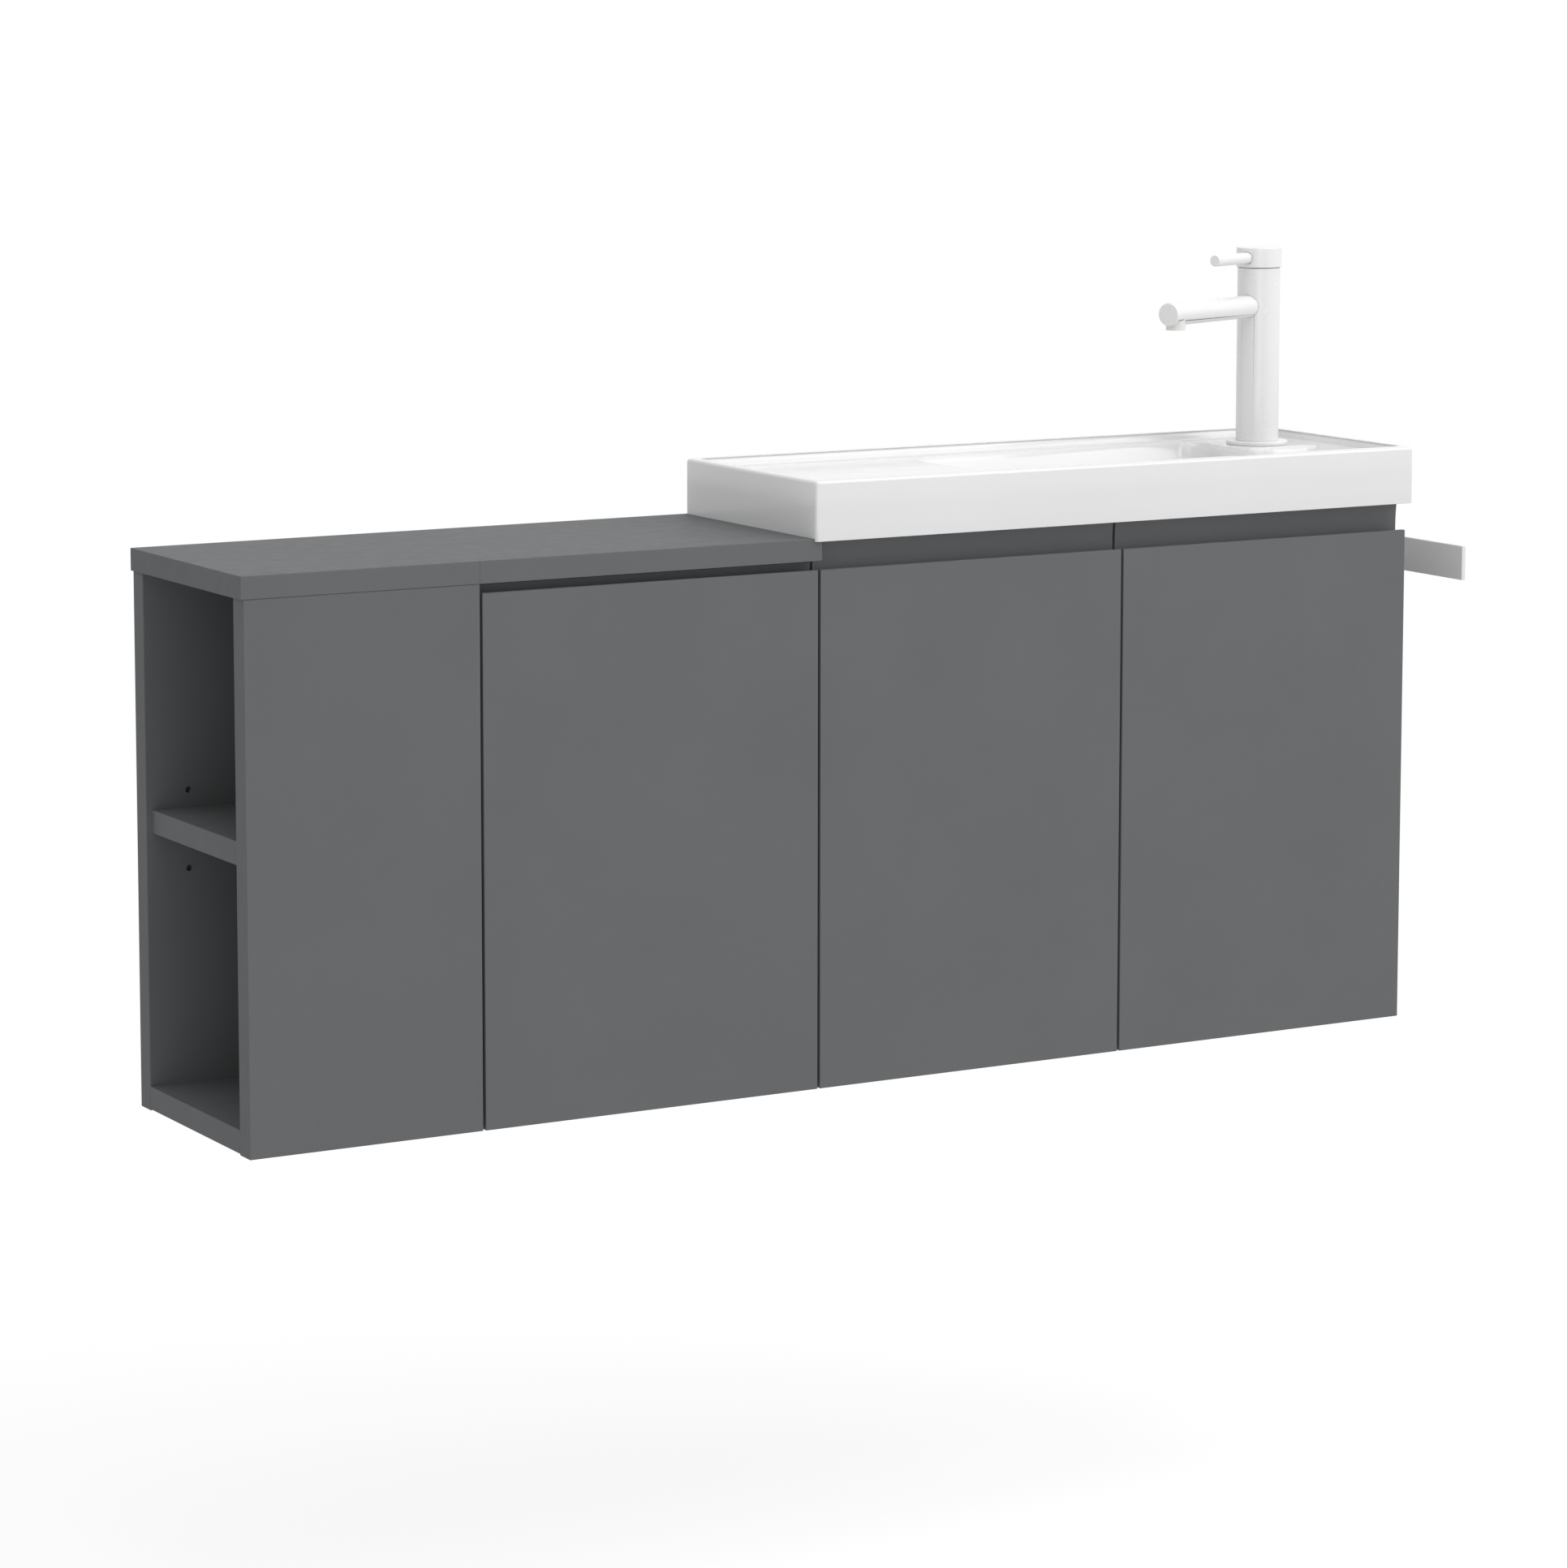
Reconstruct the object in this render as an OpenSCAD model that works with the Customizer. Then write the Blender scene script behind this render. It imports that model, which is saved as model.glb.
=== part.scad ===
// Wall-hung vanity unit: an open end niche, a middle cabinet and a basin cabinet
// in one line, with a slim ceramic basin, a pillar mixer and a side towel rail.
// Millimetres. The wall is the plane y = 0, the fronts face -y, and the origin is
// the centre of the four wall screws that carry the basin cabinet.

/* [Unit] */
// Wall to the outer face of the doors
unit_depth = 216.5; // [200:0.5:260]
// Underside of the fronts to the underside of the worktop
unit_height = 438; // [400:1:520]
// Thickness of the carcass boards
board_t = 19; // [16:0.5:22]
// Centre of the wall screws below the underside of the worktop
hang_drop = 53; // [50:1:60]
// Height of the carcass above the lower ends of the fronts
base_lift = 1; // [0:0.5:3]
// Distance of the front screws and dowels behind the carcass front
fixing_front = 40; // [32:1:50]
// Distance of the rear screws and dowels from the wall
fixing_rear = 50; // [44:1:60]

/* [End niche] */
// Width of the fixed front panel
niche_panel_w = 202; // [160:1:260]
// Underside of the shelf above the underside of the fronts
shelf_height = 227; // [150:1:300]
// Set back of the shelf from the open end
shelf_setback = 5; // [2:0.5:15]
// Depth of the shelf's grooves over the pins
pin_groove = 3.5; // [2:0.5:6]
// First row of shelf pins from the open end
pin_row_offset = 37; // [25:1:50]
// Second row of shelf pins from the first
pin_row_gap = 112; // [60:1:120]
// Spacing of the pin holes
pin_pitch = 32; // [25:1:40]
// Diameter of a shelf pin
pin_d = 5; // [4:0.5:6]
// Length of a shelf pin inside its panel
pin_in = 8; // [6:0.5:10]
// Length of a shelf pin under the shelf
pin_out = 8; // [6:0.5:12]
// Gap round the loose shelf
shelf_gap = 0.3; // [0.2:0.1:0.8]

/* [Worktop] */
// Thickness of the worktop
worktop_t = 18.4; // [16:0.2:25]
// Overhang of the worktop at each end
worktop_over = 2.3; // [1:0.1:3]
// Overhang of the worktop past the doors
worktop_proud = 0.4; // [0:0.1:2]

/* [Doors] */
// Width of the middle cabinet's door
middle_door_w = 304.8; // [260:0.2:400]
// Width of each basin cabinet door
leaf_w = 293; // [260:0.5:400]
// Gap between neighbouring fronts
door_gap = 2.4; // [2:0.1:4]
// Thickness of the doors
door_t = 19; // [18:0.5:22]
// Gap between a closed door and the carcass
door_clear = 2; // [1.6:0.1:3]
// Grip lip below the underside of the worktop
lip_drop = 7.5; // [5:0.5:14]
// Thickness of the grip lip
lip_t = 5; // [4:0.5:7]
// Width of the finger groove behind the lip
groove_w = 8; // [7:0.5:9]
// Depth of the finger groove below the lip
groove_depth = 17; // [12:1:22]
// Hollow of the band above the groove
band_hollow = 1.2; // [0.6:0.1:1.6]
// Gap between a door and what lies above it
door_top_gap = 2; // [1.5:0.1:4]

/* [Hinges] */
// Lower hinges above the lower end of the doors
hinge_low = 85; // [70:1:100]
// Upper hinges below the underside of the worktop
hinge_drop = 103; // [95:1:120]
// Height of the cup's wing
wing_h = 62; // [58:1:66]
// Rear end of the hinge arm behind the door's face
arm_end = 85; // [80:1:90]
// Height of the mounting plate
plate_h = 44; // [40:1:50]
// Length of the mounting plate
plate_l = 36; // [32:1:38]
// Diameter of the door buffers
buffer_d = 8; // [6:0.5:10]
// Thickness of the door buffers
buffer_t = 1.5; // [1.2:0.1:1.5]

/* [Basin] */
// Overhang of the basin past the cabinet at each end
basin_side = 5.2; // [4:0.1:8]
// Overhang of the basin past the doors
basin_proud = 3.5; // [3:0.5:8]
// Height of the basin's sides
basin_h = 49.7; // [46:0.1:60]
// Drop of the apron below the worktop's top
apron_drop = 2.4; // [1.5:0.1:4]
// Radius of the basin's upright corners
basin_corner = 3; // [2:0.5:8]
// Width of the rim
rim_w = 9; // [7:0.5:12]
// Depth of the tray and tap deck below the rim
deck_drop = 8; // [6:0.5:10]
// Thickness of the tray and tap deck
deck_t = 12; // [10:0.5:14]
// Width of the tray from the left end
tray_w = 200; // [150:1:240]
// Thickness of the bowl's floor
floor_t = 8; // [7:0.5:10]
// Ledge between the rim and the bowl at the back
ledge_w = 10.5; // [8:0.5:14]
// Ledge between the rim and the bowl at the front
front_ledge = 6.5; // [4:0.5:10]
// Radius of the bowl's swept front right side
sweep_r = 360; // [340:5:420]
// Start of the swept side from the basin's right end
sweep_start = 260; // [240:5:280]
// End of the bowl from the basin's right end
bowl_end = 19; // [16:1:30]
// Length of the slope from the tray down into the bowl
slope_left = 54; // [30:1:70]
// Slope of the bowl's other sides
slope_side = 18; // [12:1:24]
// Radius of the raised pad under the tap
pad_r = 34; // [33:1:44]
// Spread of the pad's flank down to the bowl's floor
pad_spread = 18; // [8:1:20]
// Drain centre from the basin's right end
drain_right = 245; // [220:1:260]
// Drain centre from the wall
drain_y = 110; // [98:1:112]

/* [Tap] */
// Tap axis from the basin's right end
tap_right = 57; // [54:1:65]
// Tap axis from the wall
tap_y = 65.5; // [60:0.5:70]
// Height of the tap above its deck
tap_h = 174.6; // [160:0.2:220]
// Diameter of the tap's body
tap_d = 37.7; // [36:0.1:42]
// Height of the turning cap
cap_h = 17.4; // [14:0.2:22]
// Diameter of the turning cap
cap_d = 39.9; // [38:0.1:44]
// Shadow gap under the cap
cap_gap = 0.5; // [0.4:0.1:1.5]
// Diameter of the base ring
ring_d = 54.3; // [52:0.1:60]
// Thickness of the base ring
ring_t = 3.5; // [2.5:0.1:5]
// Height of the spout's axis above the deck
spout_h = 122.8; // [105:0.2:135]
// Reach of the spout from the tap's axis
spout_reach = 145; // [120:1:160]
// Diameter of the spout
spout_d = 20; // [18:0.5:22]
// Turn of the spout and lever towards the front, from the left
spout_turn = 22.5; // [10:0.5:40]
// Aerator centre back from the spout's end
aerator_back = 12; // [10:0.5:16]
// Diameter of the aerator
aerator_d = 17; // [15:0.5:17.5]
// Aerator below the spout
aerator_out = 4; // [2:0.5:6]
// Reach of the lever from the tap's axis
lever_reach = 72; // [60:1:85]
// Diameter of the lever
lever_d = 10; // [8:0.5:11]
// Height of the lever's axis above the lower face of the cap
lever_h = 8.5; // [7:0.5:9]
// Diameter of the threaded shank
shank_d = 31.8; // [30:0.1:33]
// Length of the shank below the deck
shank_l = 50; // [45:1:60]
// Radius of the core of each water inlet
inlet_r = 4.3; // [4.2:0.1:4.4]

/* [Waste and trap] */
// Diameter of the waste plug's cover
plug_d = 64; // [62:1:68]
// Thickness of the waste plug's cover
plug_t = 5; // [4:0.5:6]
// Diameter of the waste flange
flange_d = 60; // [56:0.5:61]
// Thickness of the waste flange
flange_t = 3; // [2:0.5:4]
// Diameter of the waste body
waste_d = 44; // [42:0.5:45]
// Wall of the drain pipes
pipe_wall = 1.8; // [1.5:0.1:2.2]
// Top of the bottle trap below the underside of the worktop
trap_drop = 86; // [82:1:100]
// Outlet below the top of the trap
outlet_drop = 34; // [30:1:40]
// Diameter of the bottle trap
trap_d = 58; // [52:1:64]
// Length of the bottle trap
trap_l = 116; // [105:1:140]

/* [Towel rail] */
// Clear gap between the cabinet and the rail
rail_gap = 70; // [50:1:90]
// Thickness of the flat bar
bar_t = 4; // [3:0.5:5]
// Height of the flat bar
bar_h = 30; // [25:1:40]
// Top of the bar below the underside of the worktop
bar_drop = 27; // [20:1:80]
// Front end of the bar behind the doors' face
bar_front = 10; // [0:1:30]
// Gap between the rail's leg and the wall
leg_gap = 16; // [10:1:25]
// Length of the foot along the cabinet's side
foot_l = 55; // [45:1:70]
// Outer radius of the bar's bends
bend_r = 6; // [5.5:0.5:9]

/* [Carcass rails and wall fixing] */
// Depth of the flat rail behind the basin doors
front_rail_w = 50; // [44:1:52]
// Height of the top rails
top_rail_h = 80; // [70:1:90]
// Gap between the worktop and the top rails
top_rail_drop = 4; // [2:0.5:8]
// Gap between the top rails and the wall
top_rail_back = 19; // [16:0.5:22]
// Height of the lower rails above the cabinet floor
lower_rail_h = 32; // [28:1:50]
// Width of a wall plate
wall_plate_w = 40; // [36:1:50]
// Half height of a wall plate
wall_plate_half = 26; // [24:0.5:30]
// Spacing of a wall plate's two screws
wall_screw_gap = 32; // [30:1:34]
// Diameter of a wall screw hole
wall_screw_d = 6; // [5:0.5:7]
// Gap between a cabinet side and its wall plate
wall_plate_in = 3; // [2:0.5:6]

/* [Hidden] */
$fn = 64;

// Clearance of a fixing in its bore, and of seated pieces
fit_gap = 0.1;
// Radial clearance of a turning or sliding fit
run_gap = 0.05;
// Overshoot of a cutting body
cut = 1;
// Overlap of two cutting bodies that meet in one plane
skin = 0.02;

// Widths and their places along the wall
half_gap = door_gap / 2;
cabinet_w = 2 * leaf_w + 1.5 * door_gap;
basin_x0 = -cabinet_w / 2;
basin_x1 = cabinet_w / 2;
middle_x0 = basin_x0 - middle_door_w - door_gap;
niche_x0 = middle_x0 - niche_panel_w - half_gap;
middle_door_x1 = basin_x0 - half_gap;
left_leaf_x0 = basin_x0 + half_gap;
right_leaf_x1 = basin_x1;

// Depths, all negative because the wall is y = 0
front_y = -unit_depth;
door_back_y = front_y + door_t;
carcass_y = door_back_y + door_clear;
fix_y1 = carcass_y + fixing_front;
fix_y2 = -fixing_rear;
top_rail_y = -top_rail_back - board_t;

// Heights, all from the centre of the wall screws
base_z = hang_drop - unit_height;
carcass_z = base_z + base_lift;
floor_z = carcass_z + board_t;
worktop_z = base_z + unit_height;
worktop_top = worktop_z + worktop_t;
apron_z = worktop_top - apron_drop;
rim_z = apron_z + basin_h;
deck_z = rim_z - deck_drop;
bowl_z = apron_z + floor_t;
hinge_top = worktop_z - hinge_drop;
top_rail_z1 = worktop_z - top_rail_drop;
top_rail_z0 = top_rail_z1 - top_rail_h;
lower_rail_z1 = floor_z + lower_rail_h;
lip_z = worktop_z - lip_drop;
band_z = lip_z - groove_depth;

// Furniture fittings
dowel_d = 8;
dowel_short = 10;
dowel_long = 19;
bolt_d = 6;
bolt_in = 10;
bolt_end_gap = 0.2;
cam_d = 15;
cam_t = 12.5;
cam_back = 24;
joint_screw_d = 4;
joint_screw_l = 33;
joint_head_d = 8;
joint_head_t = 2.4;
joint_edge = 15;
joint_in = 30;
joint_high = 110;
top_fix_gap = 60;
buffer_in = 10;
buffer_low = 6;
buffer_high = 12;

// Hinge: pin and link found so that the link stays inside the cup as the door turns
hinge_zs = [base_z + hinge_low, hinge_top];
cup_d = 35;
cup_depth = 12;
cup_edge = 3;
cup_wall = 0.8;
cup_rim = 1;
wing_w = 20;
wing_t = 1;
arm_t = 8;
arm_h = 15;
plate_screws = 32;
hinge_pin_u = 33.8;
hinge_pin_v = 10.3;
hinge_pin_r = 1;
link_l = 22.2;
link_t = 2.6;
link_h = 7.4;
link_angle = 168.6;
cheek_t = 1.3;
cheek_gap = 0.2;
nose_r = 1.9;
neck_v = door_t + wing_t + door_clear;
arm_u = 26;
wing_dowel_d = 8;
wing_dowel_l = 10;
wing_dowel_gap = 45;
wing_dowel_in = 9.5;
plate_v = 58;
plate_screw_d = 3.5;
plate_screw_l = 14;
plate_head_d = 7;
plate_head_t = 2.2;

// Wall plates and hangers
wall_plate_t = 2;
lip_out = 8;
lip_h = 12;
hanger_w = 14;
hanger_l = 50;
hanger_low = 2;
hanger_top = 45;
hook_w = 10;
hook_t = 4;
hook_tab = 3;
hook_gap = 0.3;
hook_in = 4;
notch_gap = 6;
notch_w = hook_in + hook_w + notch_gap;
hook_z = wall_plate_half + lip_h + hook_gap;

// Basin, measured from the middle of the cabinet
basin_w = cabinet_w + 2 * basin_side;
basin_d = unit_depth + basin_proud;
tap_x = basin_w / 2 - tap_right;
drain_x = basin_w / 2 - drain_right;
seat_w = 25;
shell_t = 9;
nut_space_r = 30;
drain_hole_gap = 1;
tap_hole_gap = 1.2;
bowl_levels = 12;
bowl_corner = 10;
corner_steps = 6;
sweep_steps = 20;
pad_steps = 40;
pad_back = 6;

// Waste and trap
seal_t = 3;
seal_d = 60;
waste_wall = 3;
waste_l = 38;
nut_t = 8;
waste_nut_d = 58;
stem_d = 10;
stem_l = 30;
guide_t = 4;
guide_w = 4;
socket_l = 10;
pipe_d = 32;
union_d = 46;
union_t = 16;
trap_wall = 2.5;
cup_join = 34;
cup_rib = 3;
dip_gap = 22;
spigot_out = 2;
spigot_step = 0.8;
trap_top = worktop_z - trap_drop;
trap_z = trap_top - trap_l;
outlet_z = trap_top - outlet_drop;

// Tap
cartridge_h = 22;
cartridge_wall = 2.6;
spindle_r = 4;
spindle_up = 9;
spindle_down = 20;
shank_up = 20;
waterway_r = 6;
tap_nut_t = 7;
ring_gap = 0.5;
tap_nut_d = 50;
spout_wall = 3;
spout_root = 12;
inlet_depth = 14;
inlet_off = 8;
lever_root = 9;
tap_body_top = tap_h - cap_h - cap_gap;

// Towel rail
rail_screw_d = 4;
rail_screw_l = 20;
rail_head_d = 8;
rail_head_t = 2.4;
rail_x = basin_x1 + rail_gap;
leg_y = -leg_gap;
bar_y0 = front_y + bar_front;
bar_z0 = worktop_z - bar_drop - bar_h;
// Places of the foot's screws as shares of its length
foot_screws = [0.35, 0.8];

front_grey = [0.42, 0.42, 0.43];
inside_grey = [0.36, 0.36, 0.37];
ceramic_white = [0.95, 0.95, 0.95];
tap_white = [0.93, 0.93, 0.92];
steel = [0.75, 0.76, 0.78];
plastic_white = [0.88, 0.88, 0.88];
beech = [0.78, 0.64, 0.45];
rubber_black = [0.15, 0.15, 0.15];

// A box between two corners
module block(low, high) translate(low) cube(high - low);

// A disc or rod along an axis from a point
module rod_x(at, r, l) translate(at) rotate([0, 90, 0]) cylinder(r = r, h = l);
module rod_y(at, r, l) translate(at) rotate([-90, 0, 0]) cylinder(r = r, h = l);
module rod_z(at, r, l) translate(at) cylinder(r = r, h = l);

// Flat pack joints. Each bolt row is [face x, direction into the board, y, z, side of the cam]
side_in = [middle_x0 + board_t, basin_x0 - board_t, basin_x0 + board_t, basin_x1 - board_t];
floor_mid = carcass_z + board_t / 2;
front_rail_mid = apron_z - board_t / 2;
top_rail_mid = top_rail_z0 + top_rail_h / 3;
end_face_x = middle_x0 - board_t;
niche_fix_y = [fix_y1 + bolt_in, fix_y2 - bolt_in];
top_fix_y = [fix_y1, fix_y2 - top_fix_gap];
bolts = concat(
    [for (i = [0:3]) for (y = [fix_y1, fix_y2])
        [side_in[i], i % 2 == 0 ? 1 : -1, y, floor_mid, "down"]],
    [for (i = [2, 3]) [side_in[i], i % 2 == 0 ? 1 : -1, carcass_y + front_rail_w - joint_edge,
        front_rail_mid, "down"]],
    [for (i = [0:3]) [side_in[i], i % 2 == 0 ? 1 : -1, top_rail_y + board_t / 2, top_rail_mid, "back"]],
    [for (y = niche_fix_y) [end_face_x, -1, y, floor_mid, "down"]]);
// Dowels along x: [face x, direction into the board, y, z]
dowels_x = concat(
    [for (i = [0:3]) [side_in[i], i % 2 == 0 ? 1 : -1, (fix_y1 + fix_y2) / 2, floor_mid]],
    [for (i = [2, 3]) [side_in[i], i % 2 == 0 ? 1 : -1, carcass_y + joint_edge, front_rail_mid]],
    [for (i = [0:3]) [side_in[i], i % 2 == 0 ? 1 : -1, top_rail_y + board_t / 2, top_rail_z0 + dowel_d]],
    [for (i = [0:3]) [side_in[i], i % 2 == 0 ? 1 : -1, -board_t / 2, floor_z + lower_rail_h / 2]],
    [[end_face_x, -1, (niche_fix_y[0] + niche_fix_y[1]) / 2, floor_mid]]);
// Dowels along y in the niche: [x, face y, direction into the inner board, z]
dowels_y = concat(
    [for (z = [base_z + joint_high, worktop_z - joint_high]) for (f = [[door_back_y, 1], [-board_t, -1]])
        [middle_x0 - board_t / 2, f[0], f[1], z]],
    [for (x = [niche_x0 + joint_in, end_face_x - joint_in]) for (f = [[door_back_y, 1], [-board_t, -1]])
        [x, f[0], f[1], floor_mid]]);
// Upright cam bolts and dowels under the worktop: [x, y, direction of the cam]
bolts_z = [for (s = [[middle_x0 + board_t / 2, 1], [basin_x0 - board_t / 2, -1]])
    for (y = top_fix_y) [s[0], y, s[1]]];
dowels_z = concat(
    [for (y = [front_y + door_t / 2, -board_t / 2])
        for (x = [niche_x0 + joint_in, end_face_x - joint_in]) [x, y]],
    [for (x = [middle_x0 + board_t / 2, basin_x0 - board_t / 2]) [x, (top_fix_y[0] + top_fix_y[1]) / 2]]);
// Screws from the middle cabinet into its neighbours: [x of the joint, direction, z]
joint_screws = [for (j = [[middle_x0, -1], [basin_x0, 1]])
    for (z = [floor_z + joint_high, worktop_z - joint_high - 1.5 * joint_in]) [j[0], j[1], z]];

module bolt_body(b, grow) {
    rod_x([b[1] > 0 ? b[0] - bolt_in : b[0] - cam_back, b[2], b[3]],
        bolt_d / 2 + grow, bolt_in + cam_back + (grow > 0 ? bolt_end_gap : 0));
}
module cam_body(b, grow) {
    cx = b[0] + b[1] * cam_back;
    over = grow > 0 ? cut : 0;
    if (b[4] == "down")
        rod_z([cx, b[2], b[3] - board_t / 2 - over], cam_d / 2 + grow, cam_t + over);
    else
        rod_y([cx, b[2] + board_t / 2 - cam_t, b[3]], cam_d / 2 + grow, cam_t + over);
}
module dowel_x_body(d, grow) {
    rod_x([d[1] > 0 ? d[0] - dowel_short : d[0] - dowel_long, d[2], d[3]],
        dowel_d / 2 + grow, dowel_short + dowel_long);
}
module dowel_y_body(d, grow) {
    rod_y([d[0], d[2] > 0 ? d[1] - dowel_short : d[1] - dowel_long, d[3]],
        dowel_d / 2 + grow, dowel_short + dowel_long);
}
module bolt_z_body(b, grow) {
    rod_z([b[0], b[1], worktop_z - cam_back], bolt_d / 2 + grow, cam_back + bolt_in);
}
module cam_z_body(b, grow) {
    length = cam_t + (grow > 0 ? cut : 0);
    x = b[2] > 0 ? b[0] + board_t / 2 - cam_t : b[0] - board_t / 2 + cam_t - length;
    rod_x([x, b[1], worktop_z - cam_back], cam_d / 2 + grow, length);
}
module dowel_z_body(d, grow) {
    rod_z([d[0], d[1], worktop_z - dowel_long], dowel_d / 2 + grow, dowel_short + dowel_long);
}
// Every joint bore, cut from each board it meets
module joint_bores() {
    for (b = bolts) {
        bolt_body(b, fit_gap);
        cam_body(b, fit_gap);
    }
    for (d = dowels_x) dowel_x_body(d, fit_gap);
    for (d = dowels_y) dowel_y_body(d, fit_gap);
}
module worktop_bores() {
    for (b = bolts_z) {
        bolt_z_body(b, fit_gap);
        cam_z_body(b, fit_gap);
    }
    for (d = dowels_z) dowel_z_body(d, fit_gap);
}
module joint_screw(j, grow) {
    translate([j[0] - j[1] * board_t, fix_y1, j[2]]) mirror([j[1] < 0 ? 1 : 0, 0, 0]) {
        rod_x([0, 0, 0], joint_screw_d / 2 + grow, joint_screw_l);
        rod_x([grow > 0 ? -cut : 0, 0, 0], joint_head_d / 2 + grow, joint_head_t + (grow > 0 ? cut : 0));
    }
}
module joint_screw_bores() for (j = joint_screws) joint_screw(j, fit_gap);
// Pilot holes for the screws of the hinge plates and of the towel rail
module side_pilots() {
    for (h = hinge_list) at_hinges(h[0], h[1]) for (s = [-1, 1])
        rod_x([h[2] - plate_screw_l, plate_v, s * plate_screws / 2], plate_screw_d / 2 + fit_gap,
            plate_screw_l);
    for (f = foot_screws)
        rod_x([basin_x1 - rail_screw_l + bar_t, leg_y - f * foot_l, bar_z0 + bar_h / 2],
            rail_screw_d / 2 + fit_gap, rail_screw_l);
}

// Hinge frames: u runs from the hinged edge into the door, v from its face backwards
hinge_list = [[middle_door_x1, -1, board_t - half_gap], [left_leaf_x0, 1, board_t - half_gap],
    [right_leaf_x1, -1, board_t]];
module at_hinges(edge_x, side) {
    for (z = hinge_zs) translate([edge_x, front_y, z]) mirror([side < 0 ? 1 : 0, 0, 0]) children();
}

pin_z = base_z + shelf_height + pin_groove - pin_d / 2 - fit_gap;
module pin_holes(face_y, deep) {
    for (row = [0, 1]) for (step = [-1:1])
        rod_y([niche_x0 + pin_row_offset + row * pin_row_gap, face_y, pin_z + step * pin_pitch],
            pin_d / 2 + fit_gap, deep);
}
module niche_back_panel() color(front_grey) difference() {
    block([niche_x0, -board_t, base_z], [middle_x0, 0, worktop_z]);
    joint_bores();
    worktop_bores();
    pin_holes(-board_t - cut, pin_in + cut);
}
module niche_front_panel() color(front_grey) difference() {
    block([niche_x0, front_y, base_z], [niche_x0 + niche_panel_w, door_back_y, worktop_z]);
    joint_bores();
    worktop_bores();
    pin_holes(door_back_y - pin_in, pin_in + cut);
}
module niche_end_panel() color(inside_grey) difference() {
    block([end_face_x, door_back_y, carcass_z], [middle_x0, -board_t, worktop_z]);
    joint_bores();
    joint_screw_bores();
}
module niche_bottom() color(front_grey) difference() {
    block([niche_x0, door_back_y, carcass_z], [end_face_x, -board_t, floor_z]);
    joint_bores();
}
// A loose shelf with grooves over the pins in its underside
module niche_shelf() color(front_grey) difference() {
    block([niche_x0 + shelf_setback, door_back_y + shelf_gap, base_z + shelf_height],
        [end_face_x - shelf_gap, -board_t - shelf_gap, base_z + shelf_height + board_t]);
    for (row = [0, 1]) for (y = [door_back_y - cut, -board_t - pin_out - shelf_gap]) {
        x = niche_x0 + pin_row_offset + row * pin_row_gap;
        block([x - pin_d / 2 - shelf_gap, y, base_z + shelf_height - cut],
            [x + pin_d / 2 + shelf_gap, y + pin_out + shelf_gap + cut, base_z + shelf_height + pin_groove]);
    }
}
module shelf_pins() color(steel) for (row = [0, 1]) for (face = [[door_back_y, 1], [-board_t, -1]])
    rod_y([niche_x0 + pin_row_offset + row * pin_row_gap, face[1] > 0 ? face[0] - pin_in : face[0] - pin_out,
        pin_z], pin_d / 2, pin_in + pin_out);

module worktop() color(front_grey) difference() {
    block([niche_x0 - worktop_over, front_y - worktop_proud, worktop_z],
        [basin_x0 + worktop_over, 0, worktop_top]);
    worktop_bores();
}

// A cabinet side with its bores, from x0, up to the given height
module side_panel(x0, top) difference() {
    block([x0, carcass_y, carcass_z], [x0 + board_t, 0, top]);
    joint_bores();
    joint_screw_bores();
    side_pilots();
}
module middle_left_side() color(inside_grey) difference() {
    side_panel(middle_x0, worktop_z);
    worktop_bores();
}
module middle_right_side() color(inside_grey) difference() {
    side_panel(basin_x0 - board_t, worktop_z);
    worktop_bores();
}
// Rebated at the top for the end of the worktop
module basin_left_side() color(inside_grey) difference() {
    side_panel(basin_x0, apron_z);
    block([basin_x0 - cut, carcass_y - cut, worktop_z],
        [basin_x0 + worktop_over + shelf_gap, cut, apron_z + cut]);
}
module basin_right_side() color(front_grey) side_panel(basin_x1 - board_t, apron_z);

module cabinet_floor(x0, x1) difference() {
    block([x0 + board_t, carcass_y, carcass_z], [x1 - board_t, 0, floor_z]);
    joint_bores();
}
module middle_bottom() color(inside_grey) cabinet_floor(middle_x0, basin_x0);
module basin_cabinet_bottom() color(inside_grey) cabinet_floor(basin_x0, basin_x1);
module basin_front_rail() color(inside_grey) difference() {
    block([basin_x0 + board_t, carcass_y, apron_z - board_t],
        [basin_x1 - board_t, carcass_y + front_rail_w, apron_z]);
    joint_bores();
}
// Top rails are notched at both upper corners for the hooks of the hangers
module top_rail(x0, x1) difference() {
    block([x0 + board_t, top_rail_y, top_rail_z0], [x1 - board_t, -top_rail_back, top_rail_z1]);
    joint_bores();
    for (x = [x0 + board_t - cut, x1 - board_t - notch_w])
        block([x, top_rail_y - cut, hook_z - hook_t],
            [x + notch_w + cut, -top_rail_back + cut, top_rail_z1 + cut]);
}
module middle_top_rail() color(inside_grey) top_rail(middle_x0, basin_x0);
module basin_top_rail() color(inside_grey) top_rail(basin_x0, basin_x1);
module lower_rail(x0, x1) difference() {
    block([x0 + board_t, -board_t, floor_z], [x1 - board_t, 0, lower_rail_z1]);
    joint_bores();
}
module middle_lower_rail() color(inside_grey) lower_rail(middle_x0, basin_x0);
module basin_lower_rail() color(inside_grey) lower_rail(basin_x0, basin_x1);

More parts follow.
